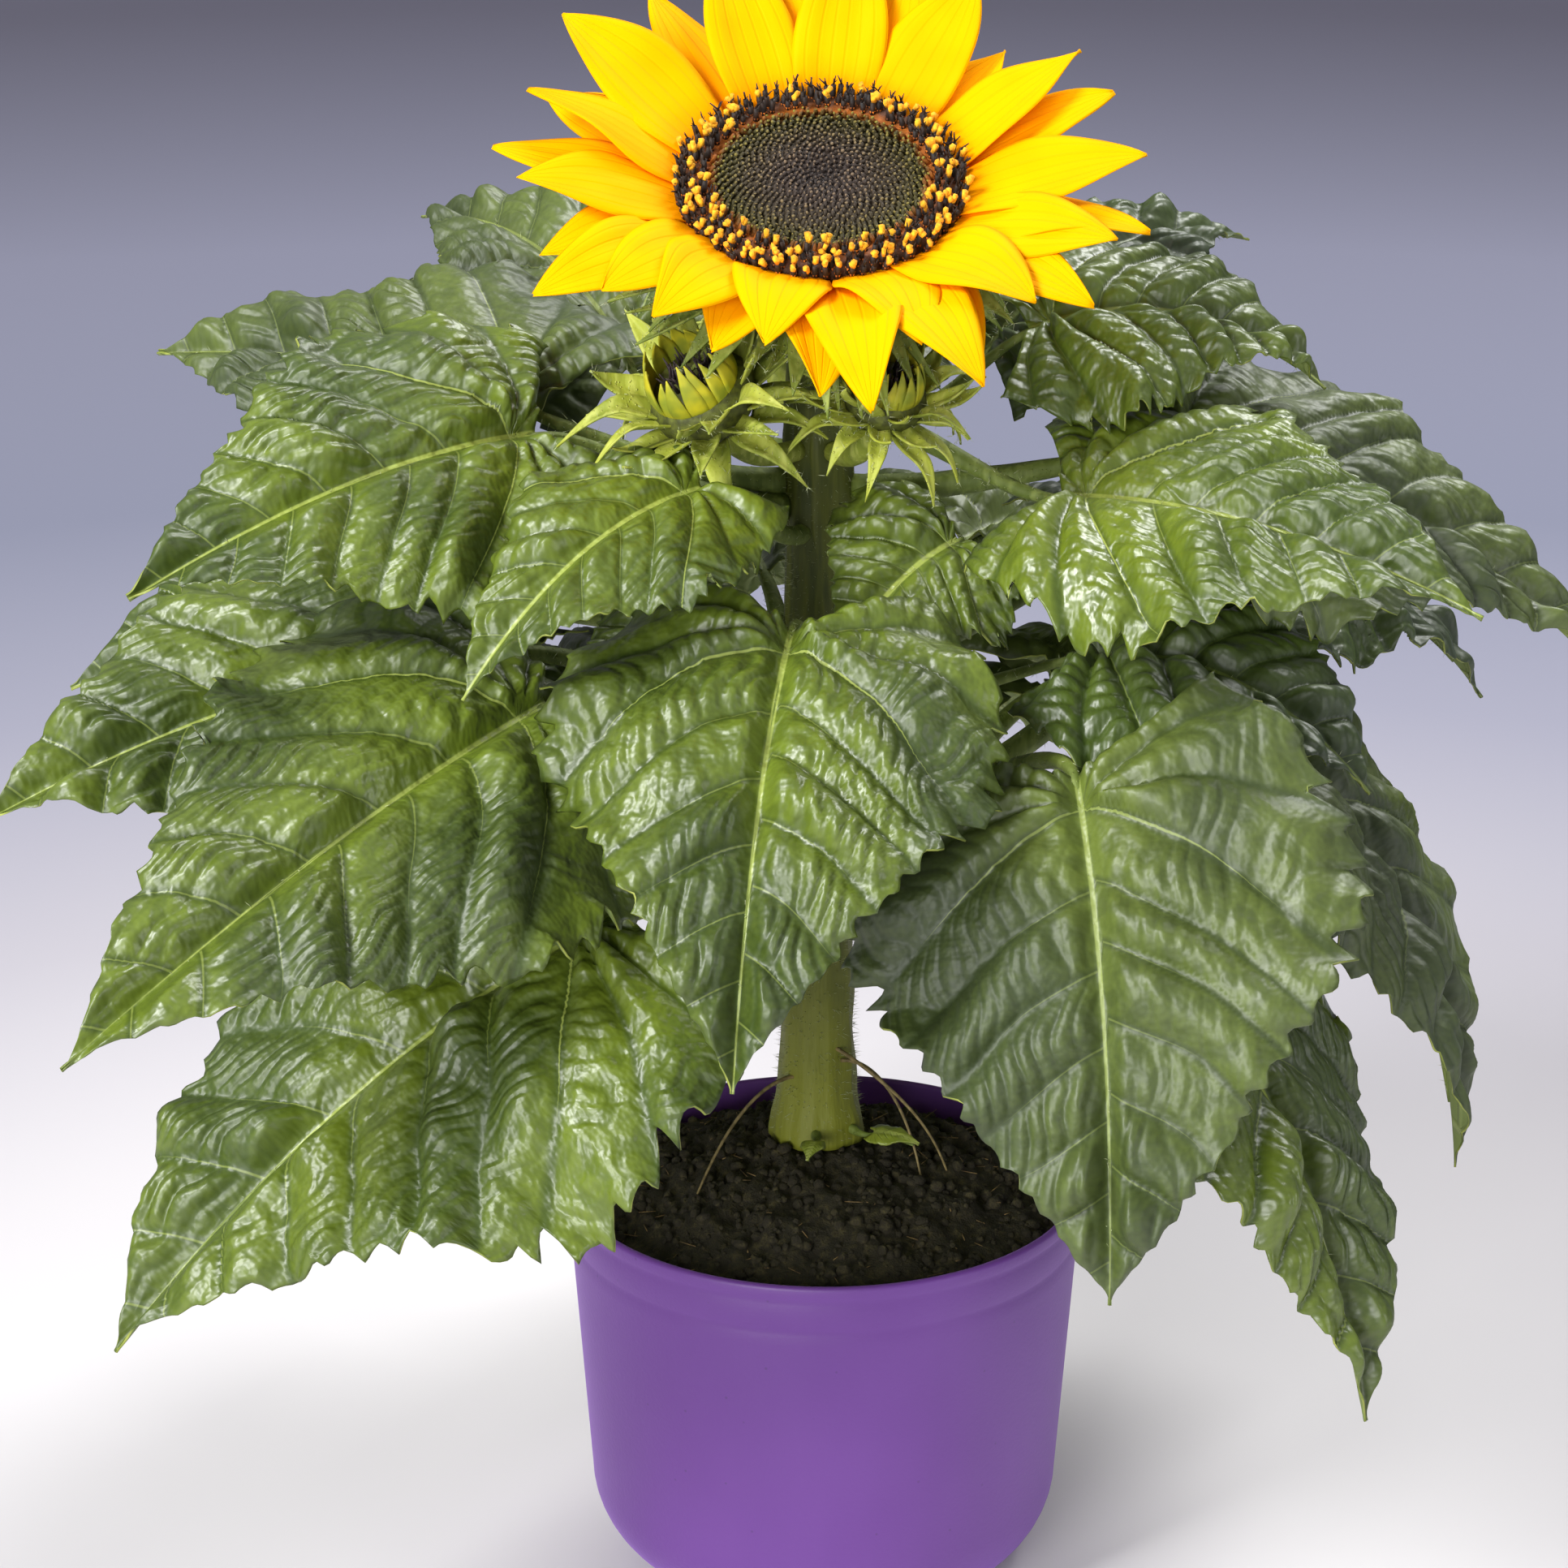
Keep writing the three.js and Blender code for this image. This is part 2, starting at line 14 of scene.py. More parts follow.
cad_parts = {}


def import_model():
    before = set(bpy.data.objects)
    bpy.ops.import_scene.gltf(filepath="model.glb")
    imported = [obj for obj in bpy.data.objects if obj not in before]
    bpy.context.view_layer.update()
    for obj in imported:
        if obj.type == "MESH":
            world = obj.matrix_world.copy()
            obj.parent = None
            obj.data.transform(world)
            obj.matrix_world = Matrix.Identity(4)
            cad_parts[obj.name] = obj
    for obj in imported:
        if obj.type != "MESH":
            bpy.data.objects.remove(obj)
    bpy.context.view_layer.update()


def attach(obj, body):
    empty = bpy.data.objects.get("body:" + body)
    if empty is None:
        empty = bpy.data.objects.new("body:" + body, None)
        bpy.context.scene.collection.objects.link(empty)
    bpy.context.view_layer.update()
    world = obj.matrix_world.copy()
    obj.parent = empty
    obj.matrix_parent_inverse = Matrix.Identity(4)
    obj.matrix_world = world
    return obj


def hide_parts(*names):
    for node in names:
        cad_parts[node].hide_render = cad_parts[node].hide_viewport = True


LOG = logging.getLogger("sunflower")
MM = 0.001
WELD = 1e-6
BODY = "root"

Array = np.ndarray
Colour = tuple[float, float, float, float]
Material = bpy.types.Material
Mesh = bpy.types.Mesh
Place = Callable[[Array, Array], Array]
Shape = tuple[int, float, float, float]
Stops = tuple[tuple[float, Colour], ...]

RIGHT = np.array([1.0, 0.0, 0.0])
UP = np.array([0.0, 0.0, 1.0])
# A direction that rises by more than this share of its length counts as upright.
STEEP = 0.9
GOLDEN_TURN = 137.508


def colour(red: int, green: int, blue: int) -> Colour:
    """A shader colour from the values that a screen shows.

    Args:
        red: Red, from 0 to 255.
        green: Green, from 0 to 255.
        blue: Blue, from 0 to 255.

    Returns:
        The linear colour, with full alpha.
    """
    shown = np.array([red, green, blue]) / 255
    linear = np.where(shown <= 0.04045, shown / 12.92, ((shown + 0.055) / 1.055) ** 2.4)
    return (*(float(part) for part in linear), 1.0)


def shade_stops(*rows: tuple[float, int, int, int]) -> Stops:
    """A ramp's stops, each from its place and its red, green and blue as a screen shows them."""
    return tuple((place, colour(*shade)) for place, *shade in rows)


def unit(vectors: Array) -> Array:
    """The same directions at length one."""
    return vectors / np.linalg.norm(vectors, axis=-1, keepdims=True)


def turned(vectors: Array, axes: Array, degrees: Array | float) -> Array:
    """Vectors turned about unit axes.

    Args:
        vectors: The vectors, one a row.
        axes: The unit axes, one a row or one for all.
        degrees: How far to turn each.

    Returns:
        The turned vectors.
    """
    angle = np.radians(np.asarray(degrees, float))[..., None]
    along = np.sum(axes * vectors, axis=-1, keepdims=True)
    cosine = np.cos(angle)
    return vectors * cosine + np.cross(axes, vectors) * np.sin(angle) + axes * along * (1 - cosine)


def eased(low: float, high: float, values: Array) -> Array:
    """A smooth step from 0 at `low` to 1 at `high`."""
    share = np.clip((values - low) / (high - low), 0, 1)
    return share * share * (3 - 2 * share)


def ripple(x: Array, y: Array, wavelength: float, seed: int) -> Array:
    """Smooth irregular ups and downs.

    Args:
        x: First coordinate of each point.
        y: Second coordinate of each point.
        wavelength: About how far apart two tops are, in the same unit.
        seed: Chooses the pattern.

    Returns:
        A height for each point, mostly between -1 and 1.
    """
    rng = np.random.default_rng(seed)
    total = np.zeros(np.broadcast(x, y).shape)
    waves = 6
    for _ in range(waves):
        angle = rng.uniform(0, 2 * math.pi)
        length = wavelength * rng.uniform(0.7, 1.6)
        across = (x * math.cos(angle) + y * math.sin(angle)) / length
        total += np.sin(2 * math.pi * across + rng.uniform(0, 2 * math.pi))
    return total / math.sqrt(waves)


def bezier(corners: Sequence[Array], shares: Array) -> Array:
    """Points on a Bezier curve.

    Args:
        corners: The points that steer it, from its start to its end.
        shares: How far along each wanted point lies, from 0 to 1.

    Returns:
        The points, one a row.
    """
    count = len(corners) - 1
    points = np.zeros((len(shares), 3))
    for index, corner in enumerate(corners):
        weight = math.comb(count, index) * shares**index * (1 - shares) ** (count - index)
        points += weight[:, None] * np.asarray(corner, float)
    return points


def round_points(radius: Array | float, angle: Array, height: Array | float) -> Array:
    """Points round +Z from their radius, angle in radians and height."""
    return np.stack(np.broadcast_arrays(radius * np.cos(angle), radius * np.sin(angle), height), axis=-1)


def sized(width: Array | float, length: Array) -> Array:
    """Three scales for each copy of a small shape, from its width and its length."""
    return np.stack(np.broadcast_arrays(width, width, length), axis=-1)


def flat_grid(columns: int, rows: int) -> tuple[bmesh.types.BMesh, Array, Array]:
    """A flat square grid.

    Args:
        columns: Faces from side to side.
        rows: Faces from end to end.

    Returns:
        The grid, and each corner's share across, from -1 to 1, and along, from 0 to 1.
    """
    grid = bmesh.new()
    bmesh.ops.create_grid(grid, x_segments=columns, y_segments=rows, size=1)
    flat = np.array([corner.co for corner in grid.verts])
    return grid, flat[:, 0], 0.5 + 0.5 * flat[:, 1]


def sheet(name: str, columns: int, rows: int, place: Place) -> Mesh:
    """A grid whose corners are moved to where `place` sends them.

    Args:
        name: The mesh's name.
        columns: Faces from side to side.
        rows: Faces from end to end.
        place: Takes the corners' shares across and along, and gives their points in millimetres.

    Returns:
        The moved grid, in metres.
    """
    grid, across, along = flat_grid(columns, rows)
    points = place(across, along) * MM
    for corner, point in zip(grid.verts, points):
        corner.co = point
    mesh = bpy.data.meshes.new(name)
    grid.to_mesh(mesh)
    grid.free()
    return mesh


def sealed(mesh: Mesh) -> Mesh:
    """Joins a mesh's meeting edges and turns its faces outward.

    Args:
        mesh: A mesh that is closed but for its seams.

    Returns:
        The same mesh.
    """
    shell = bmesh.new()
    shell.from_mesh(mesh)
    bmesh.ops.remove_doubles(shell, verts=shell.verts, dist=WELD)
    bmesh.ops.recalc_face_normals(shell, faces=shell.faces)
    shell.to_mesh(mesh)
    shell.free()
    return mesh


def joined(name: str, meshes: Sequence[Mesh]) -> Mesh:
    """Makes one mesh of several.

    Args:
        name: The new mesh's name.
        meshes: The meshes, which are removed.

    Returns:
        The new mesh.
    """
    whole = bmesh.new()
    for mesh in meshes:
        whole.from_mesh(mesh)
        bpy.data.meshes.remove(mesh)
    mesh = bpy.data.meshes.new(name)
    whole.to_mesh(mesh)
    whole.free()
    return mesh


def corners_of(mesh: Mesh) -> Array:
    """A mesh's corners, in millimetres."""
    return np.array([corner.co for corner in mesh.vertices]) / MM


def brought(mesh: Mesh, send: Callable[[Array], Array]) -> Mesh:
    """Moves a mesh from its own frame to the plant's.

    Args:
        mesh: The mesh.
        send: Takes its corners, in millimetres, and gives where they go.

    Returns:
        The same mesh.
    """
    for corner, point in zip(mesh.vertices, send(corners_of(mesh)) * MM):
        corner.co = point
    return mesh


def uv_map(mesh: Mesh, name: str, values: Array) -> None:
    """Writes a UV map.

    Args:
        mesh: The mesh that gets it.
        name: The map's name.
        values: Two numbers for each of the mesh's corners.
    """
    layer = mesh.uv_layers.new(name=name)
    owners = np.zeros(len(mesh.loops), np.int32)
    mesh.loops.foreach_get("vertex_index", owners)
    layer.data.foreach_set("uv", values[owners].astype(np.float32).ravel())


def cone(sides: int, low: float, high: float, length: float) -> bmesh.types.BMesh:
    """A small cone or rod that stands on the origin, in millimetres.

    Args:
        sides: Faces round it.
        low: The radius of its foot.
        high: The radius of its top, or 0 for a point.
        length: How far it goes up +Z.

    Returns:
        The shape, for `strewn`.
    """
    pattern = bmesh.new()
    lift = Matrix.Translation((0, 0, length / 2))
    bmesh.ops.create_cone(
        pattern, cap_ends=True, segments=sides, radius1=low, radius2=high, depth=length, matrix=lift
    )
    if high == 0:
        bmesh.ops.remove_doubles(pattern, verts=pattern.verts, dist=WELD)
    pattern.verts.index_update()
    return pattern


def grain() -> bmesh.types.BMesh:
    """A small round lump of twenty faces, a millimetre in radius.

    Returns:
        The shape, for `strewn`.
    """
    pattern = bmesh.new()
    bmesh.ops.create_icosphere(pattern, subdivisions=1, radius=1)
    pattern.verts.index_update()
    return pattern


def standing(points: Array, directions: Array, sizes: Array, spins: Array | None = None) -> Array:
    """Matrices that stand small shapes up along directions.

    Args:
        points: The foot of each copy, in millimetres.
        directions: Where each copy's +Z goes.
        sizes: Each copy's scale, a number or three a row.
        spins: Degrees that each copy is spun about its own +Z.

    Returns:
        A 4 by 4 matrix for each copy.
    """
    count = len(points)
    rise = unit(directions)
    helper = np.where(np.abs(rise[:, 2:]) > STEEP, RIGHT, UP)
    side = unit(np.cross(helper, rise))
    if spins is not None:
        side = turned(side, rise, spins)
    other = np.cross(rise, side)
    scale = np.broadcast_to(np.reshape(sizes, (count, -1)), (count, 3))
    frames = np.zeros((count, 4, 4))
    frames[:, :3, 0] = side * scale[:, :1]
    frames[:, :3, 1] = other * scale[:, 1:2]
    frames[:, :3, 2] = rise * scale[:, 2:]
    frames[:, :3, 3] = points
    frames[:, 3, 3] = 1
    return frames


def carried(centre: Array) -> tuple[Array, Array, Array]:
    """Frames that follow a line without spinning.

    Args:
        centre: The line's points.

    Returns:
        The tangents, and two directions square to them, one row a point.
    """
    tangents = unit(np.gradient(centre, axis=0))
    first = np.zeros_like(tangents)
    start = UP if abs(tangents[0][2]) < STEEP else np.array([0.0, -1.0, 0.0])
    first[0] = unit(start - tangents[0] * np.dot(start, tangents[0]))
    for index in range(1, len(centre)):
        moved = first[index - 1] - tangents[index] * np.dot(first[index - 1], tangents[index])
        first[index] = unit(moved)
    return tangents, first, np.cross(tangents, first)


def tube(
    name: str,
    centre: Array,
    radii: Array,
    sides: int,
    relief: Place | None = None,
) -> Mesh:
    """A closed round body along a line.

    Args:
        name: The mesh's name.
        centre: The line's points, in millimetres.
        radii: The radius at each point.
        sides: Faces round the tube.
        relief: Takes each corner's angle and the share of the line before it, and gives what
            the radius gains there.

    Returns:
        The tube, in metres.
    """
    _, first, second = carried(centre)
    last = len(centre) + 1

    def place(across: Array, along: Array) -> Array:
        """Puts each corner on its ring, or on the line itself at the two ends.

        Args:
            across: Each corner's share round the tube, from -1 to 1.
            along: Its share along the tube, from 0 to 1.

        Returns:
            The corners, in millimetres.
        """
        angle = np.pi * across
        station = np.rint(along * last).astype(int)
        ring = np.clip(station - 1, 0, last - 2)
        radius = radii[ring] + (relief(angle, ring / (last - 2)) if relief else 0)
        radius = np.where((station == 0) | (station == last), 0, radius)[:, None]
        out = first[ring] * np.cos(angle)[:, None] + second[ring] * np.sin(angle)[:, None]
        return centre[ring] + out * radius

    return sealed(sheet(name, sides, last, place))


def lathe(name: str, profile: Sequence[tuple[float, float]] | Array, sides: int) -> Mesh:
    """A closed body of revolution round +Z.

    Args:
        name: The mesh's name.
        profile: Radius and height pairs, in millimetres, from axis to axis.
        sides: Faces round the body.

    Returns:
        The body, in metres.
    """
    rings = np.asarray(profile, float)
    last = len(rings) - 1

    def place(across: Array, along: Array) -> Array:
        """Puts each corner on its ring."""
        radius, height = rings[np.rint(along * last).astype(int)].T
        return round_points(radius, np.pi * across, height)

    return sealed(sheet(name, sides, last, place))


def piece(
    name: str,
    mesh: Mesh,
    finishes: Sequence[Material],
    slot: str,
    *nodes: str,
) -> bpy.types.Object:
    """Adds a finished mesh to the part.

    Args:
        name: The piece's name.
        mesh: Its mesh, in place.
        finishes: Its materials.
        slot: A material slot's name; not used.
        nodes: The solids that it stands for.

    Returns:
        The new object.
    """
    made = bpy.data.objects.new(name, mesh)
    bpy.context.scene.collection.objects.link(made)
    mesh.shade_smooth()
    for finish in finishes:
        mesh.materials.append(finish)
    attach(made, BODY)
    if nodes:
        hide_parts(*nodes)
    LOG.info("%s: %d faces", name, len(mesh.polygons))
    return made


def strewn(
    name: str, pattern: bmesh.types.BMesh, frames: Array, finish: Material, slot: str, node: str
) -> None:
    """Adds a piece of many copies of one small shape.

    Args:
        name: The piece's name.
        pattern: The small shape, in millimetres, which is freed.
        frames: A 4 by 4 matrix for each copy.
        finish: The material.
        slot: A material slot's name, passed on to `piece`.
        node: The solid that it stands for.
    """
    corners = np.array([corner.co for corner in pattern.verts])
    faces = [[corner.index for corner in face.verts] for face in pattern.faces]
    pattern.free()
    points = corners @ frames[:, :3, :3].transpose(0, 2, 1) + frames[:, None, :3, 3]
    starts = range(0, len(frames) * len(corners), len(corners))
    mesh = bpy.data.meshes.new(name)
    mesh.from_pydata(
        (points.reshape(-1, 3) * MM).tolist(),
        [],
        [[start + corner for corner in face] for start in starts for face in faces],
    )
    piece(name, mesh, [finish], slot, node)


def walled(made: bpy.types.Object, thickness: float, offset: float = 0) -> bpy.types.SolidifyModifier:
    """Gives a thin piece its thickness.

    Args:
        made: The piece.
        thickness: How thick it gets, in millimetres.
        offset: 0 for both ways, or -1 for inward only.

    Returns:
        The modifier.
    """
    wall = made.modifiers.new("wall", "SOLIDIFY")
    wall.thickness = thickness * MM
    wall.offset = offset
    return wall


class Signal:
    """A value that varies over a surface, with arithmetic that adds Math nodes."""

    def __init__(self, paint: "Paint", socket: bpy.types.NodeSocket) -> None:
        """Wraps a node's output."""
        self.paint = paint
        self.socket = socket

    def __add__(self, other: "Signal | float") -> "Signal":
        """The sum."""
        return self.paint.maths("ADD", self, other)

    __radd__ = __add__

    def __sub__(self, other: "Signal | float") -> "Signal":
        """The difference."""
        return self.paint.maths("SUBTRACT", self, other)

    def __rsub__(self, other: float) -> "Signal":
        """A number less this."""
        return self.paint.maths("SUBTRACT", other, self)

    def __mul__(self, other: "Signal | float") -> "Signal":
        """The product."""
        return self.paint.maths("MULTIPLY", self, other)

    __rmul__ = __mul__

    def __abs__(self) -> "Signal":
        """The size without its sign."""
        return self.paint.maths("ABSOLUTE", self)

    def __mod__(self, other: float) -> "Signal":
        """The rest after whole steps of a number."""
        return self.paint.maths("FLOORED_MODULO", self, other)

    def step(self, low: float, high: float) -> "Signal":
        """A smooth step from 0 at `low` to 1 at `high`, or down where `high` is the lower."""
        values = {"Value": self, "From Min": low, "From Max": high}
        return self.paint.node("ShaderNodeMapRange", {"interpolation_type": "SMOOTHSTEP"}, values)

    def most(self, other: "Signal | float") -> "Signal":
        """The larger of the two."""
        return self.paint.maths("MAXIMUM", self, other)

    def off_whole(self) -> "Signal":
        """How far the value is from the nearest whole number."""
        return abs(((self + 0.5) % 1) - 0.5)


Value = Signal | float | Sequence[float]


class Paint:
    """The nodes of one material, built from Python expressions."""

    def __init__(self, name: str) -> None:
        """Starts a material with its shader.

        Args:
            name: The material's name.
        """
        self.material = bpy.data.materials.new(name)
        self.material.use_nodes = True
        self.tree = self.material.node_tree
        self.shader = self.tree.nodes["Principled BSDF"]
        self.shader.distribution = "GGX"

    def node(
        self,
        kind: str,
        settings: dict[str, object] | None = None,
        values: dict[str | int, Value] | None = None,
        output: str | int = 0,
    ) -> Signal:
        """Adds a node.

        Args:
            kind: The node's type.
            settings: What is set on the node first, with a ramp's colours under "stops".
            values: What its sockets are given.
            output: The socket that is wanted.

        Returns:
            The wanted output.
        """
        made = self.tree.nodes.new(kind)
        for key, setting in (settings or {}).items():
            if key == "stops":
                self._stops(made.color_ramp, setting)
            else:
                setattr(made, key, setting)
        for key, value in (values or {}).items():
            self._feed(made.inputs[key], value)
        return Signal(self, made.outputs[output])

    def _stops(self, ramp: bpy.types.ColorRamp, stops: Sequence[tuple[float, Colour]]) -> None:
        """Gives a ramp its colours.

        Args:
            ramp: The ramp.
            stops: Each colour's place and the colour.
        """
        while len(ramp.elements) < len(stops):
            ramp.elements.new(1)
        for element, (place, shade) in zip(ramp.elements, stops):
            element.position = place
            element.color = shade

    def _feed(self, socket: bpy.types.NodeSocket, value: Value) -> None:
        """Links or sets one socket.

        Args:
            socket: The socket.
            value: What it is given.
        """
        if isinstance(value, Signal):
            self.tree.links.new(value.socket, socket)
        else:
            socket.default_value = value

    def maths(self, operation: str, *values: Signal | float) -> Signal:
        """One Math node."""
        return self.node("ShaderNodeMath", {"operation": operation}, dict(enumerate(values)))

    def spot(self) -> Signal:
        """The point on the object, in metres."""
        return self.node("ShaderNodeTexCoord", output="Object")

    def uv(self, name: str) -> tuple[Signal, Signal, Signal]:
        """A UV map as a vector and as its two numbers."""
        vector = self.node("ShaderNodeUVMap", {"uv_map": name})
        return vector, *self.parts(vector)[:2]

    def parts(self, vector: Signal) -> tuple[Signal, Signal, Signal]:
        """A vector's three numbers."""
        names = ("X", "Y", "Z")
        return tuple(self.node("ShaderNodeSeparateXYZ", {}, {0: vector}, name) for name in names)

    def drawn(self, spot: Signal, squash: float, scale: float) -> Signal:
        """Soft mottling that is drawn out upward."""
        squashed = self.node("ShaderNodeMapping", {}, {"Vector": spot, "Scale": (1, 1, squash)})
        return self.noise(squashed, scale)

    def noise(self, vector: Signal, scale: float, detail: float = 2, rough: float = 0.5) -> Signal:
        """Soft random mottling between 0 and 1."""
        values = {"Vector": vector, "Scale": scale, "Detail": detail, "Roughness": rough}
        return self.node("ShaderNodeTexNoise", {}, values, "Fac")

    def grit(self, vector: Signal, scale: float) -> Signal:
        """Plain random mottling on a flat map."""
        values = {"Vector": vector, "Scale": scale, "Detail": 0.0}
        return self.node("ShaderNodeTexNoise", {"noise_dimensions": "2D"}, values, "Fac")

    def cells(self, vector: Signal, scale: float) -> Signal:
        """Distances to the middles of irregular cells."""
        values = {"Vector": vector, "Scale": scale}
        return self.node("ShaderNodeTexVoronoi", {}, values, "Distance")

    def mixed(self, share: Signal | float, first: Value, second: Value) -> Signal:
        """A colour between two others."""
        values = {0: share, 6: first, 7: second}
        return self.node("ShaderNodeMix", {"data_type": "RGBA"}, values, 2)

    def ramp(self, share: Signal, stops: Sequence[tuple[float, Colour]]) -> Signal:
        """A colour read off a ramp."""
        return self.node("ShaderNodeValToRGB", {"stops": stops}, {0: share}, "Color")

    def raised(self, height: Signal, depth: float, strength: float = 1) -> Signal:
        """A normal bent by a height, whose whole range stands `depth` metres high."""
        values = {"Height": height, "Distance": depth, "Strength": strength}
        return self.node("ShaderNodeBump", {}, values)

    def finish(self, **values: Value) -> Material:
        """Sets the shader's sockets.

        Args:
            values: What each socket is given, under its name in lower case with underscores.

        Returns:
            The material.
        """
        for key, value in values.items():
            self._feed(self.shader.inputs[key.replace("_", " ").title().replace("Ior", "IOR")], value)
        return self.material


@dataclass(frozen=True)
class LeafTop:
    """The glossy upper face of a leaf: pale ribs and small bubbles, with painted shade in the deep colour
    along the creases between the ribs and in the hollows between the bubbles.

    The veins are read from two UV maps: `ribs` counts side ribs and the fine veins between them,
    and `place` holds the distance from the midrib and along it, in decimetres.
    """

    name: str
    flesh: Colour
    deep: Colour
    vein: Colour
    lime: Colour
    roughness: float
    relief: float
    patch_scale: float = 24
    bubble_scale: float = 19
    speckle_scale: float = 70
    depth: float = 0.0013

    def build(self) -> Material:
        """Makes the material.

        Returns:
            The finished material.
        """
        paint = Paint(self.name)
        _, rib_count, fine_count = paint.uv("ribs")
        place, beside, forward = paint.uv("place")
        spot = paint.spot()
        from_midrib = abs(beside)
        broad = paint.grit(spot, self.patch_scale)
        speckle = paint.grit(place, self.speckle_scale)
        rib = rib_count.off_whole()
        fine = fine_count.off_whole()
        first = abs(rib_count).step(0.7, 0.3)
        bubbles = paint.grit(place, self.bubble_scale).step(0.28, 0.6)
        ladder = fine.step(0.0, 0.34) * rib.step(0.0, 0.22)
        patch = 0.25 + 0.75 * broad.step(0.38, 0.62)
        rib_line = (rib + 0.07 * from_midrib - 0.014 - 0.012 * first).step(0.01, -0.004)
        middle = (from_midrib - (0.008 - 0.005 * forward)).step(0.002, -0.002)
        # Painted shade: the deep colour darkens the creases at the ribs and fine veins.
        painted_crease_shade = (rib.step(0.14, 0.0) * 0.75).most(fine.step(0.24, 0.0) * 0.55 * patch)
        young = (from_midrib * 1.6 + abs(forward - 0.1)).step(0.75, 0.1)
        green = paint.mixed(broad.step(0.3, 0.7) * 0.6 + speckle * 0.3, self.flesh, self.deep)
        green = paint.mixed(young * 0.45, green, self.lime)
        # Painted shade: the deep colour also fills the hollows between the bubbles.
        green = paint.mixed(painted_crease_shade.most(0.35 - 0.35 * bubbles), green, self.deep)
        shade = paint.mixed((rib_line * (0.3 + 0.35 * first)).most(middle * 0.7), green, self.vein)
        height = bubbles * 0.5 + ladder * patch * 0.75 + speckle * 0.3
        return paint.finish(
            base_color=shade,
            roughness=self.roughness + 0.2 * broad,
            normal=paint.raised(height, self.depth, self.relief),
            specular_ior_level=0.75,
        )


@dataclass(frozen=True)
class LeafUnder:
    """The paler, dull lower face of a leaf, where the veins stand out."""

    name: str
    flesh: Colour
    vein: Colour

    def build(self) -> Material:
        """Makes the material.

        Returns:
            The finished material.
        """
        paint = Paint(self.name)
        _, rib_count, fine_count = paint.uv("ribs")
        spot = paint.spot()
        rib = rib_count.off_whole().step(0.1, 0.03)
        fine = fine_count.off_whole().step(0.14, 0.03)
        fuzz = paint.noise(spot, 600, 2)
        shade = paint.mixed(rib * 0.7 + fine * 0.25, self.flesh, self.vein)
        shade = paint.mixed(paint.noise(spot, 30) * 0.35, shade, self.vein)
        return paint.finish(
            base_color=shade,
            roughness=0.62 + 0.15 * fuzz,
            normal=paint.raised(rib + fine * 0.5 + fuzz * 0.3, 0.0006),
        )


@dataclass(frozen=True)
class Stalk:
    """Hairy green skin of stems, stalks and bracts, streaked along and blotched."""

    name: str
    flesh: Colour
    deep: Colour
    pale: Colour
    roughness: float = 0.55

    def build(self) -> Material:
        """Makes the material.

        Returns:
            The finished material.
        """
        paint = Paint(self.name)
        spot = paint.spot()
        streaks = paint.drawn(spot, 0.12, 420)
        blotch = paint.noise(spot, 48, 3)
        dots = paint.cells(spot, 700).step(0.25, 0.05)
        shade = paint.mixed(blotch.step(0.35, 0.7), self.flesh, self.deep)
        shade = paint.mixed(streaks.step(0.4, 0.75) * 0.5, shade, self.pale)
        shade = paint.mixed(dots * 0.5, shade, self.pale)
        return paint.finish(
            base_color=shade,
            roughness=self.roughness + 0.2 * blotch,
            normal=paint.raised(streaks + dots * 0.6, 0.0004),
        )


@dataclass(frozen=True)
class PetalSkin:
    """Satin petal that is ribbed along, with painted shade in deeper orange yellow towards its foot, where
    the petals overlap.
    """

    name: str
    flesh: Colour
    foot: Colour
    rib: Colour
    lines: float = 7

    def build(self) -> Material:
        """Makes the material.

        Returns:
            The finished material.
        """
        paint = Paint(self.name)
        _, across, along = paint.uv("petal")
        spot = paint.spot()
        lines = (across * self.lines).off_whole().step(0.16, 0.02)
        drift = paint.noise(spot, 60, 1)
        # Painted shade: the petal turns to the deeper foot colour near its base, where petals overlap.
        shade = paint.mixed(along.step(0.36, 0.0), self.flesh, self.foot)
        shade = paint.mixed(lines * 0.16, shade, self.rib)
        shade = paint.mixed(drift.step(0.4, 0.8) * 0.4, shade, self.rib)
        grains = paint.noise(spot, 1100, 1)
        return paint.finish(
            base_color=shade,
            roughness=0.55 + 0.14 * drift,
            normal=paint.raised(lines * -0.5 + grains * 0.2, 0.0003, 0.6),
            specular_ior_level=0.02,
        )


@dataclass(frozen=True)
class Moulded:
    """Satin moulded plastic with faint draw marks, scuffs and dust specks."""

    name: str
    body: Colour
    worn: Colour
    dust: Colour = (0.02, 0.01, 0.04, 1)
    glow: Colour = colour(196, 140, 255)

    def build(self) -> Material:
        """Makes the material.

        Returns:
            The finished material.
        """
        paint = Paint(self.name)
        spot = paint.spot()
        draw = paint.drawn(spot, 0.05, 90)
        cloud = paint.noise(spot, 14, 2)
        pits = paint.noise(spot, 900, 2)
        specks = paint.cells(spot, 130).step(0.07, 0.03)
        shade = paint.mixed(cloud.step(0.3, 0.75) * 0.5 + draw * 0.2, self.body, self.worn)
        shade = paint.mixed(specks * 0.35, shade, self.dust)
        return paint.finish(
            base_color=shade,
            roughness=0.36 + 0.16 * cloud + 0.08 * draw,
            normal=paint.raised(pits * 0.5 + draw * 0.5, 0.0002, 0.6),
            specular_ior_level=0.55,
            sheen_weight=0.4,
            sheen_roughness=0.5,
            sheen_tint=self.glow,
        )


@dataclass(frozen=True)
class Peat:
    """Damp dark potting soil."""

    name: str
    dark: Colour
    light: Colour

    def build(self) -> Material:
        """Makes the material.

        Returns:
            The finished material.
        """
        paint = Paint(self.name)
        spot = paint.spot()
        crumbs = paint.noise(spot, 380, 4, 0.7)
        patches = paint.noise(spot, 60, 2)
        shade = paint.mixed(crumbs.step(0.45, 0.8) * 0.8 + patches * 0.15, self.dark, self.light)
        return paint.finish(
            base_color=shade, roughness=0.85 + 0.1 * patches, normal=paint.raised(crumbs, 0.0012)
        )


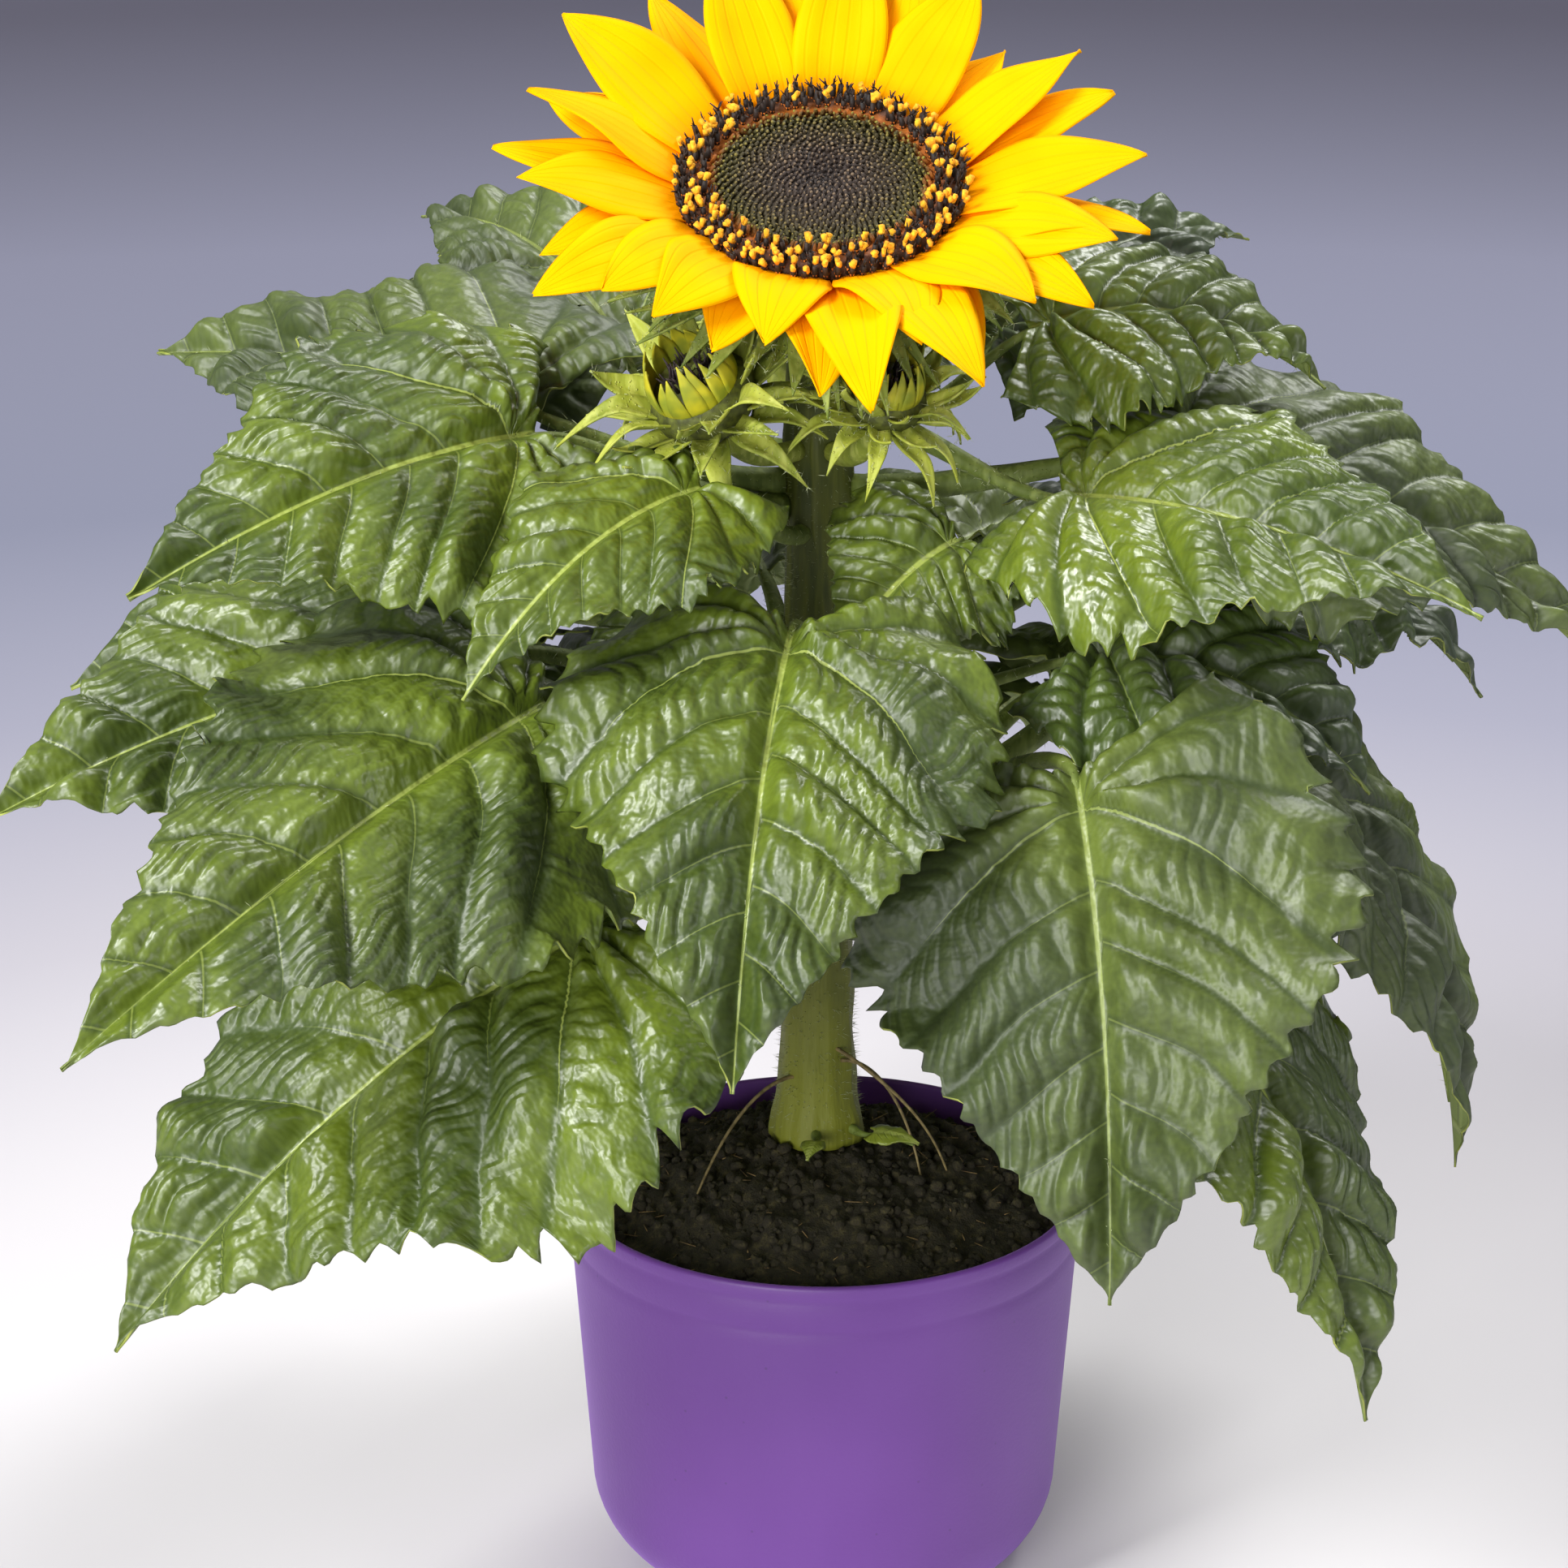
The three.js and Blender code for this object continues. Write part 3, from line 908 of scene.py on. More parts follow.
@dataclass(frozen=True)
class Mottled:
    """A small part's colour, mottled between two shades."""

    name: str
    first: Colour
    second: Colour
    scale: float = 500
    roughness: float = 0.6

    def build(self) -> Material:
        """Makes the material.

        Returns:
            The finished material.
        """
        paint = Paint(self.name)
        cloud = paint.noise(paint.spot(), self.scale, 2)
        return paint.finish(
            base_color=paint.mixed(cloud.step(0.3, 0.7), self.first, self.second),
            roughness=self.roughness + 0.1 * cloud,
            normal=paint.raised(cloud, 0.0003),
        )


@dataclass(frozen=True)
class SeedHead:
    """The florets' shades, which change from the middle of the disc outward."""

    name: str
    centre: tuple[float, float, float]
    radius: float
    stops: Stops

    def build(self) -> Material:
        """Makes the material.

        Returns:
            The finished material.
        """
        paint = Paint(self.name)
        spot = paint.spot()
        away = paint.node(
            "ShaderNodeVectorMath", {"operation": "DISTANCE"}, {0: spot, 1: self.centre}, "Value"
        )
        drift = paint.noise(spot, 260, 2)
        share = away * (1 / self.radius) + (drift - 0.5) * 0.12
        return paint.finish(
            base_color=paint.ramp(share, self.stops),
            roughness=0.6 + 0.2 * drift,
            normal=paint.raised(paint.noise(spot, 1500, 2), 0.0003),
        )


class LeafShade(Enum):
    """How light a leaf's colour is: partly its age, the youngest being the lightest, and partly painted
    light, lighter where a leaf faces away from the lamps or lies in shade.
    """

    YOUNG = "young"
    FRESH = "fresh"
    GROWN = "grown"
    OLD = "old"
    SEED_PAINTED_LIGHT = "seed"


# Each shade's colours of flesh, deep tone (for mottling and painted crease shade), veins and young parts,
# then its roughness and relief.
LEAF_TOPS = {
    LeafShade.YOUNG: ((102, 119, 28), (50, 68, 14), (172, 186, 88), (122, 140, 34), 0.32, 0.5),
    LeafShade.FRESH: ((100, 117, 32), (44, 61, 12), (168, 182, 88), (118, 138, 34), 0.32, 0.5),
    LeafShade.GROWN: ((90, 105, 38), (45, 59, 20), (144, 158, 78), (104, 120, 38), 0.42, 0.38),
    LeafShade.OLD: ((70, 88, 28), (34, 50, 12), (118, 134, 58), (86, 104, 26), 0.38, 0.4),
    # Painted light: the seed leaves lie in shade, so their shade is much lighter than their own green.
    LeafShade.SEED_PAINTED_LIGHT: ((150, 164, 56), (112, 130, 36), (178, 190, 96), (160, 172, 60), 0.32, 0.5),
}

# Each leaf: its name, its stalk's height on the stem, the turn, reach and height of its base and
# of its tip, its width, arch, sway and roll, as the solids have them, and its shade.
# A leaf's shade is partly painted light: leaves that face away from the lamps or lie in shade get lighter
# shades.
LEAVES = (
    ("leaf_top_left", 296, (-160, 76, 322), (-153, 188, 296), 98, 8, -4, -40, LeafShade.YOUNG),
    ("leaf_top_left_back", 302, (-176, 72, 322), (163, 186, 323), 96, 6, 0, -32, LeafShade.GROWN),
    ("leaf_top_back_left", 308, (140, 64, 322), (134, 160, 348), 84, 14, 0, -16, LeafShade.GROWN),
    ("leaf_top_back", 304, (94, 64, 314), (92, 172, 304), 96, 16, 0, 0, LeafShade.GROWN),
    ("leaf_top_back_right", 310, (44, 62, 326), (38, 152, 346), 84, 14, 0, 14, LeafShade.OLD),
    ("leaf_top_right_upper", 312, (2, 54, 342), (2, 132, 326), 82, 12, 0, 22, LeafShade.FRESH),
    ("leaf_top_right_back", 300, (-6, 84, 312), (0, 204, 254), 98, 14, 3, 32, LeafShade.GROWN),
    ("leaf_top_right", 322, (-32, 71, 309), (-30, 184, 294), 92, 8, 3, 26, LeafShade.YOUNG),
    ("leaf_top_front_left", 290, (-119, 60, 315), (-131, 132, 275), 64, 11, -3, -18, LeafShade.YOUNG),
    ("leaf_mid_left_back", 262, (-179, 79, 269), (-177, 196, 249), 104, 9, 0, -32, LeafShade.YOUNG),
    ("leaf_mid_left", 246, (-161, 86, 266), (-159, 222, 237), 116, 9, -4, -37, LeafShade.FRESH),
    ("leaf_mid_front_left", 238, (-141, 88, 260), (-136, 244, 209), 120, 9, -6, -33, LeafShade.FRESH),
    ("leaf_mid_front_inner", 246, (-120, 46, 271), (-134, 86, 259), 60, 6, 0, -24, LeafShade.FRESH),
    ("leaf_mid_front", 252, (-96, 68, 283), (-98, 152, 194), 118, 14, 0, -6, LeafShade.FRESH),
    ("leaf_mid_front_right", 268, (-40, 46, 295), (-84, 54, 271), 60, 4, 0, -30, LeafShade.YOUNG),
    ("leaf_mid_right", 244, (-28, 76, 266), (-24, 152, 238), 96, 12, 0, 18, LeafShade.OLD),
    ("leaf_mid_right_back", 250, (22, 87, 275), (20, 200, 221), 112, 18, 0, 18, LeafShade.OLD),
    ("leaf_mid_back_right", 242, (60, 82, 266), (58, 208, 204), 116, 18, 0, 8, LeafShade.GROWN),
    ("leaf_mid_back", 236, (100, 82, 254), (99, 208, 192), 116, 18, 0, 0, LeafShade.GROWN),
    ("leaf_mid_back_left", 248, (142, 80, 272), (142, 206, 214), 116, 18, 0, -10, LeafShade.GROWN),
    ("leaf_low_front_left", 196, (-122, 95, 213), (-145, 214, 113), 144, 10, 0, -28, LeafShade.YOUNG),
    ("leaf_low_front_right", 214, (-52, 102, 249), (-63, 154, 132), 134, 16, 0, 20, LeafShade.GROWN),
    ("leaf_low_right", 186, (-34, 98, 206), (-38, 176, 86), 104, 14, 0, -4, LeafShade.FRESH),
    ("leaf_low_right_back", 206, (0, 90, 248), (-8, 174, 118), 118, 24, 0, 6, LeafShade.GROWN),
    ("leaf_low_back_right", 194, (42, 90, 228), (42, 194, 126), 118, 24, 0, 6, LeafShade.GROWN),
    ("leaf_low_back", 188, (84, 90, 216), (84, 198, 122), 120, 24, 0, 0, LeafShade.GROWN),
    ("leaf_low_back_left", 196, (126, 90, 228), (128, 198, 128), 118, 24, 0, -6, LeafShade.GROWN),
    ("leaf_low_left", 204, (168, 88, 236), (172, 178, 143), 112, 24, 0, -12, LeafShade.GROWN),
    # Painted light: the seed leaves' shade is lightened to stand in for light they do not get.
    ("seed_leaf_right", 122, (-40, 20, 123), (-34, 33, 122), 9, 1, 0, 14, LeafShade.SEED_PAINTED_LIGHT),
    ("seed_leaf_front", 122, (-92, 19, 123), (-96, 27, 121), 7, 1, 0, 0, LeafShade.SEED_PAINTED_LIGHT),
)


@dataclass
class Stem:
    """The stem, from its swollen foot in the soil to the cup under the flower."""

    x: float = -2
    y: float = 12
    foot: float = 117.3
    straight_top: float = 322
    radius_low: float = 10
    radius_high: float = 8
    flare: float = 2.5
    flare_height: float = 16
    head_height: float = 383
    sunk: float = 0.25
    ridge: float = 0.22
    fine_ridge: float = 0.14
    bump: float = 0.3
    joint_swell: float = 0.5
    joint_reach: float = 5
    most_swell: float = 0.8
    neck_lead: float = 14
    sides: int = 48
    steps: int = 150

    def around(self, turn: float, reach: float, height: float) -> Array:
        """A point round the stem from its turn in degrees, its reach and its height."""
        angle = math.radians(turn)
        return np.array([self.x + reach * math.cos(angle), self.y + reach * math.sin(angle), height])

    def radius(self, height: Array | float) -> Array | float:
        """The stem's radius.

        Args:
            height: Where, in millimetres over the floor.

        Returns:
            The radius there.
        """
        above = np.asarray(height) - self.foot
        share = above / (self.head_height - self.foot)
        taper = self.radius_low + (self.radius_high - self.radius_low) * share
        return taper + self.flare * np.exp(-above / self.flare_height)

    def line(self, head: "Head") -> Array:
        """The middle line, straight up and then forward into the cup.

        Args:
            head: The flower head that it carries.

        Returns:
            The line's points, in millimetres.
        """
        top = head.out(0, 0, head.cup_bottom - 0.3)
        below = head.out(0, 0, head.cup_bottom - 30)
        bend = np.array([self.x, self.y, self.straight_top])
        straight_steps = int(self.steps * 0.75)
        heights = np.linspace(self.foot, self.straight_top, straight_steps, endpoint=False)
        straight = np.stack([np.full_like(heights, self.x), np.full_like(heights, self.y), heights], -1)
        corners = [bend, bend + self.neck_lead * UP, below, top]
        neck = bezier(corners, np.linspace(0, 1, self.steps - straight_steps))
        return np.concatenate([straight, neck])

    def build(self, head: "Head", joints: Sequence[float]) -> None:
        """Makes the stem.

        Args:
            head: The flower head that it carries.
            joints: The height of each stalk that leaves it.
        """
        centre = self.line(head)
        radii = self.radius(centre[:, 2]) - self.sunk

        def relief(angle: Array, along: Array) -> Array:
            """What ridges, bumps and the swellings at the stalks add to the radius.

            Args:
                angle: Each corner's angle round the stem, in radians.
                along: Its share along the stem, from 0 to 1.

            Returns:
                What the radius gains at each corner, in millimetres.
            """
            height = centre[np.rint(along * (len(centre) - 1)).astype(int), 2]
            ridges = self.ridge * np.cos(9 * angle + 0.02 * height)
            ridges = ridges + self.fine_ridge * np.cos(17 * angle + 1)
            uneven = self.bump * ripple(angle * 8, height, 14, 3)
            away = [(height - joint) / self.joint_reach for joint in joints]
            swell = sum(self.joint_swell * np.exp(-(share**2)) for share in away)
            return ridges + uneven + np.minimum(swell, self.most_swell)

        finish = StemSkin("stem_skin").build()
        piece("stem_skin", tube("stem_skin", centre, radii, self.sides, relief), [finish], "stem", "stem")


@dataclass(frozen=True)
class StemSkin:
    """The stem's skin: pale yellow green at its foot and olive above."""

    name: str
    foot: Colour = colour(136, 140, 40)
    flesh: Colour = colour(80, 87, 20)
    deep: Colour = colour(62, 72, 20)

    def build(self) -> Material:
        """Makes the material.

        Returns:
            The finished material.
        """
        paint = Paint(self.name)
        spot = paint.spot()
        height = paint.parts(spot)[2]
        streaks = paint.drawn(spot, 0.08, 420)
        blotch = paint.noise(spot, 60, 3)
        shade = paint.mixed(blotch.step(0.35, 0.7), self.flesh, self.deep)
        shade = paint.mixed((height + (blotch - 0.5) * 0.04).step(0.2, 0.13), shade, self.foot)
        shade = paint.mixed(streaks.step(0.4, 0.75) * 0.4, shade, self.foot)
        return paint.finish(
            base_color=shade,
            roughness=0.5 + 0.2 * blotch,
            normal=paint.raised(streaks + blotch, 0.0005),
        )


@dataclass
class Leaf:
    """One leaf: a quilted, toothed blade on a stalk with a midrib under the blade."""

    name: str
    joint: float
    base: tuple[float, float, float]
    tip: tuple[float, float, float]
    width: float
    arch: float
    sway: float
    roll: float
    shade: LeafShade
    index: int
    stem: Stem = field(default_factory=Stem)
    teeth: int = 21
    tooth_lead: float = 0.72
    tooth_back: float = 0.28
    tooth_depth: float = 0.085
    tip_half_width: float = 0.4
    lobe: float = 0.16
    fold: float = 0.2
    curl: float = 0.42
    wave: float = 0.045
    waves: float = 2.5
    ruffle: float = 0.02
    ruffles: float = 7.5
    ribs: float = 5.4
    first_rib: float = 0.07
    rib_fan: float = 30
    fine_spacing: float = 5.8
    vault: float = 3.7
    vault_wave: float = 34
    pillow: float = 2.0
    pillow_wave: float = 52
    crumple: float = 0.3
    crumple_wave: float = 9
    drape: float = 1.6
    drape_wave: float = 70
    groove: float = 1.2
    groove_width: float = 2.0
    quilted_width: float = 105
    thickness: float = 0.55
    least_stalk: float = 0.8
    stalk_share: float = 60
    stalk_sides: int = 14
    stalk_steps: int = 30
    front: float = 90
    front_grid: tuple[int, int] = (88, 132)
    back_grid: tuple[int, int] = (56, 84)
    small_grid: tuple[int, int] = (16, 20)

    def __post_init__(self) -> None:
        """Works out the midrib, and gives the leaves that are seen in front the finest grids."""
        base = self.stem.around(*self.base)
        tip = self.stem.around(*self.tip)
        chord = tip - base
        side = unit(np.cross(chord, UP))
        lift = unit(np.cross(side, chord))
        middle = base + (tip - base) * 0.45 + lift * 2 * self.arch + side * 2 * self.sway
        self.corners = (base, middle, tip)
        steps = bezier(self.corners, np.linspace(0, 1, 200))
        self.length = float(np.sum(np.linalg.norm(np.diff(steps, axis=0), axis=1)))
        self.small = self.name.startswith("seed")
        large_grid = self.front_grid if tip[1] < self.front else self.back_grid
        self.columns, self.rows = self.small_grid if self.small else large_grid

    def outline(self, along: Array) -> Array:
        """Half width as a share of the greatest, from base to tip."""
        drawn_in = 1 - 0.16 * np.sin(np.pi * np.clip((along - 0.35) / 0.65, 0, 1)) ** 2
        return (1 - along) ** 1.4 * (0.6 + 3.6 * along) / 1.02 * drawn_in

    def midrib(self, along: Array) -> tuple[Array, Array]:
        """Points of the midrib and its direction there.

        Args:
            along: How far along each point lies, from 0 to 1.

        Returns:
            The points, in millimetres, and the unit directions.
        """
        base, middle, tip = self.corners
        ahead = (1 - along)[:, None] * (middle - base) + along[:, None] * (tip - middle)
        return bezier(self.corners, along), unit(ahead)

    def spread(self, across: Array, along: Array) -> tuple[Array, Array]:
        """Where each point lies on the flat blade.

        Args:
            across: From -1 to 1.
            along: From 0 to 1.

        Returns:
            The distance beside the midrib, in millimetres, and the share along it.
        """
        reach = np.abs(across)
        phase = self.index * 0.37
        tooth = (along * self.teeth * (0.75 + 0.25 * along) + phase) % 1
        lead, back = self.tooth_lead, self.tooth_back
        point = np.where(tooth < lead, tooth / lead, (1 - tooth) / back) ** 1.3
        depth = 0 if self.small else self.tooth_depth
        uneven = 1 + 0.4 * np.sin(along * 31 + phase) + 0.4 * np.sin(along * 53 + 3 * phase)
        notch = 1 - depth * (1 - point) * uneven * reach**7
        half = np.maximum(self.tip_half_width, 0.5 * self.width * self.outline(along) * notch)
        place = along - self.lobe * (1 - along) ** 3 * reach**1.6
        place = place + 0.35 * depth * point * reach**7 * (1 - along) * 0.5
        return across * half, place

    def veins(self, beside: Array, place: Array) -> tuple[Array, Array]:
        """Counts the ribs and fine veins passed at each point.

        The side ribs leave the midrib and bend forward. Behind the first pair they fan out from
        the blade's base. Fine veins cross from rib to rib.

        Args:
            beside: Distance beside the midrib, in millimetres.
            place: Share along the midrib.

        Returns:
            The count of ribs, whole on each rib, and the count of fine veins.
        """
        out = np.abs(beside) / (0.5 * self.width)
        drift = 0.014 * ripple(beside, place * self.length, 50, 40 + self.index) * np.minimum(1, 3 * out)
        bent = 0.24 * out + 0.2 * out * out + drift
        ahead = place - bent - self.first_rib
        offset = np.where(beside < 0, 0.4, 0) * eased(0.05, 0.3, ahead)
        count_ahead = self.ribs * ahead * (1 + 0.35 * ahead) + offset
        away = np.abs(beside) + 0.01
        rib_turn = np.degrees(np.arctan2(bent * self.length, away))
        turn = np.degrees(np.arctan2((place - self.first_rib) * self.length, away))
        count = np.where(ahead > 0, count_ahead, (turn - rib_turn) / self.rib_fan)
        behind = np.hypot(away, (place - self.first_rib) * self.length)
        travelled = np.where(ahead > 0, np.hypot(away, bent * self.length), behind)
        down = place * self.length
        bend = 0.4 * ripple(beside, down, 26, 5) + 0.12 * ripple(beside, down, 14, 6 + self.index)
        return count, travelled / self.fine_spacing + bend

    def quilt(self, across: Array, beside: Array, place: Array) -> Array:
        """How far the blade puffs up between its veins.

        Args:
            across: Each point's share across, from -1 to 1.
            beside: Its distance beside the midrib, in millimetres.
            place: Its share along the midrib.

        Returns:
            The rise of each point, in millimetres.
        """
        count, fine = self.veins(beside, place)
        scale = 0.0 if self.small else min(1.0, self.width / self.quilted_width)
        reach = np.abs(across)
        down = place * self.length
        uneven = 1 + 0.4 * ripple(beside, down, self.vault_wave, 11 + self.index)
        vault = (np.sin(np.pi * count) ** 2 + 0.015) ** 0.32
        pillow = (np.sin(np.pi * fine) ** 2 + 0.02) ** 0.4
        near = eased(0.5, 6, np.abs(beside))
        edge = 1 - 0.5 * reach**6
        crumple = self.crumple * ripple(beside, down, self.crumple_wave, 23 + self.index)
        patch = 0.65 + 0.5 * ripple(beside, down, self.pillow_wave, 81 + self.index) - 0.25 * reach
        drape = self.drape * ripple(beside, down, self.drape_wave, 60 + self.index) * reach
        groove = -self.groove * np.exp(-((beside / self.groove_width) ** 2))
        other_side = np.where(beside < 0, 1.4, 0)
        each_field = 1 + 0.45 * np.sin(4.1 * np.floor(count) + 2.3 * self.index + other_side)
        puffed = self.vault * vault * each_field * uneven
        puffed = puffed + self.pillow * pillow * vault * np.clip(patch, 0.15, 1.3)
        return scale * ((puffed + crumple) * near * edge + drape + groove)

    def surface(self, across: Array, along: Array) -> Array:
        """The blade's upper face.

        Args:
            across: Each corner's share across, from -1 to 1.
            along: Its share along, from 0 to 1.

        Returns:
            The corners, in millimetres.
        """
        reach = np.abs(across)
        beside, place = self.spread(across, along)
        inside = np.maximum(0, place)
        point, forward = self.midrib(inside)
        side = turned(unit(np.cross(forward, UP)), forward, self.roll)
        normal = np.cross(side, forward)
        phase = 1.7 * self.index
        flap = np.sin(2 * np.pi * self.waves * along + phase + np.where(across > 0, 0, 2))
        ruffle = np.sin(2 * np.pi * self.ruffles * along + phase * 2 + np.where(across > 0, 0, 1.3))
        rise = self.fold * np.abs(beside) - self.curl * beside * beside / (0.5 * self.width)
        rise += self.wave * self.width * flap * reach * reach * self.outline(along)
        rise += self.ruffle * self.width * ruffle * reach**4 * np.sqrt(self.outline(along))
        rise += self.quilt(across, beside, place)
        moved = forward * ((place - inside) * self.length)[:, None]
        return point + moved + side * beside[:, None] + normal * (rise + 0.3)[:, None]

    def stalk(self) -> Mesh:
        """Makes the stalk, which runs on under the blade as its midrib.

        Returns:
            The stalk, in metres.
        """
        turn, reach, _ = self.base
        radius = max(self.least_stalk, self.length / self.stalk_share)
        foot = float(self.stem.radius(self.joint)) + 0.2
        start = self.stem.around(turn, foot, self.joint)
        out = self.stem.around(turn, foot + (reach - foot) * 0.35, self.joint)
        under, forward = self.midrib(np.array([0.0, 0.1]))
        sunk = 0.75 * radius * UP
        into = under[0] - sunk - forward[0] * 0.22 * reach
        steps = np.linspace(0, 1, self.stalk_steps)
        free = bezier([start, out, into, under[0] - sunk], steps)
        shares = np.linspace(0.03, 0.9, self.stalk_steps)
        ribs, ahead = self.midrib(shares)
        side = turned(unit(np.cross(ahead, UP)), ahead, self.roll)
        down = -np.cross(side, ahead)
        taper = radius * 0.6 * (1 - shares) ** 0.8 + 0.25
        held = ribs + down * (taper + 0.9)[:, None]
        centre = np.concatenate([free, held])
        radii = np.concatenate([radius * (1.8 - 1.1 * steps), taper])

        def relief(angle: Array, along: Array) -> Array:
            """What grooves and bumps add to the radius."""
            grooves = 0.07 * radius * np.cos(7 * angle) * (1 - along)
            return grooves + 0.05 * radius * ripple(angle, along * 40, 5, self.index)

        return tube(f"{self.name}_stalk", centre, radii, self.stalk_sides, relief)

    def build(self, finishes: "LeafFinishes") -> Array:
        """Makes the blade and its stalk.

        Args:
            finishes: The materials of leaves.

        Returns:
            The stalk's corners, in millimetres, for its hairs.
        """
        name = f"{self.name}_blade"
        mesh = sheet(name, self.columns, self.rows, self.surface)
        grid, across, along = flat_grid(self.columns, self.rows)
        grid.free()
        beside, place = self.spread(across, along)
        uv_map(mesh, "ribs", np.stack(self.veins(beside, place), axis=-1))
        uv_map(mesh, "place", np.stack([beside, place * self.length], axis=-1) / 100)
        skins = [finishes.tops[self.shade], finishes.under, finishes.rim]
        wall = walled(piece(name, mesh, skins, "leaf", self.name), self.thickness, -1)
        wall.material_offset = 1
        wall.material_offset_rim = 2
        stalk = self.stalk()
        corners = corners_of(stalk)
        piece(f"{self.name}_stalk", stalk, [finishes.stalk], "leaf", self.name)
        return corners


class LeafFinishes:
    """The materials that all leaves share."""

    def __init__(self) -> None:
        """Makes each material once."""
        self.tops = {}
        for shade, (*tones, roughness, relief) in LEAF_TOPS.items():
            shades = [colour(*tone) for tone in tones]
            self.tops[shade] = LeafTop(f"leaf_{shade.value}", *shades, roughness, relief).build()
        self.under = LeafUnder("leaf_under", colour(108, 124, 62), colour(146, 158, 92)).build()
        self.rim = Mottled("leaf_rim", colour(150, 158, 70), colour(112, 126, 44), 200, 0.5).build()
        greens = colour(106, 122, 44), colour(82, 98, 30), colour(150, 164, 84)
        self.stalk = Stalk("leaf_stalk", *greens).build()


@dataclass
class Pot:
    """The round plastic pot."""

    height: float = 110
    rim_radius: float = 70
    low_radius: float = 64
    corner: float = 26
    wall: float = 2.2
    sides: int = 160
    lines: tuple[float, ...] = (4.5, 13.5)
    line_depth: float = 0.3
    line_width: float = 0.9
    rounding: int = 14
    wall_rings: int = 8
    wall_start: float = 6
    wall_end: float = 18
    inside_depth: float = 60
    inside_round: float = 10

    def build(self) -> None:
        """Makes the pot, whose profile runs out along its floor, up its wall and down inside."""
        turn = np.linspace(0, np.pi / 2, self.rounding)
        low = self.low_radius - self.corner
        floor = [(0, 0), (low * 0.5, 0)]
        outer = [(low + self.corner * math.sin(a), self.corner * (1 - math.cos(a))) for a in turn]
        slope = (self.rim_radius - self.low_radius) / (self.height - self.corner)
        start, end = self.corner + self.wall_start, self.height - self.wall_end
        wall = [(height, 0) for height in np.linspace(start, end, self.wall_rings)]
        for line in sorted(self.lines, reverse=True):
            for off, depth in ((-self.line_width, 0), (0, self.line_depth), (self.line_width, 0)):
                wall.append((self.height - line + off, depth))
        wall = [(self.low_radius + slope * (at - self.corner) - depth, at) for at, depth in wall]
        lip = 0.5 * self.wall
        middle_radius, middle_height = self.rim_radius - lip, self.height - lip
        bend = np.linspace(0, np.pi, self.rounding // 2)
        rim = [(middle_radius + lip * math.cos(a), middle_height + lip * math.sin(a)) for a in bend]
        inner = self.low_radius - self.wall
        inside = [(inner + slope * self.inside_depth, self.corner + self.inside_depth)]
        inside += [(inner, self.corner), (inner - self.inside_round, self.wall + self.wall_start)]
        inside += [(low, self.wall), (0, self.wall)]
        finish = Moulded("pot_plastic", colour(93, 48, 127), colour(108, 64, 142)).build()
        shell = lathe("pot_shell", floor + outer + wall + rim + inside, self.sides)
        piece("pot_shell", shell, [finish], "pot", "pot")


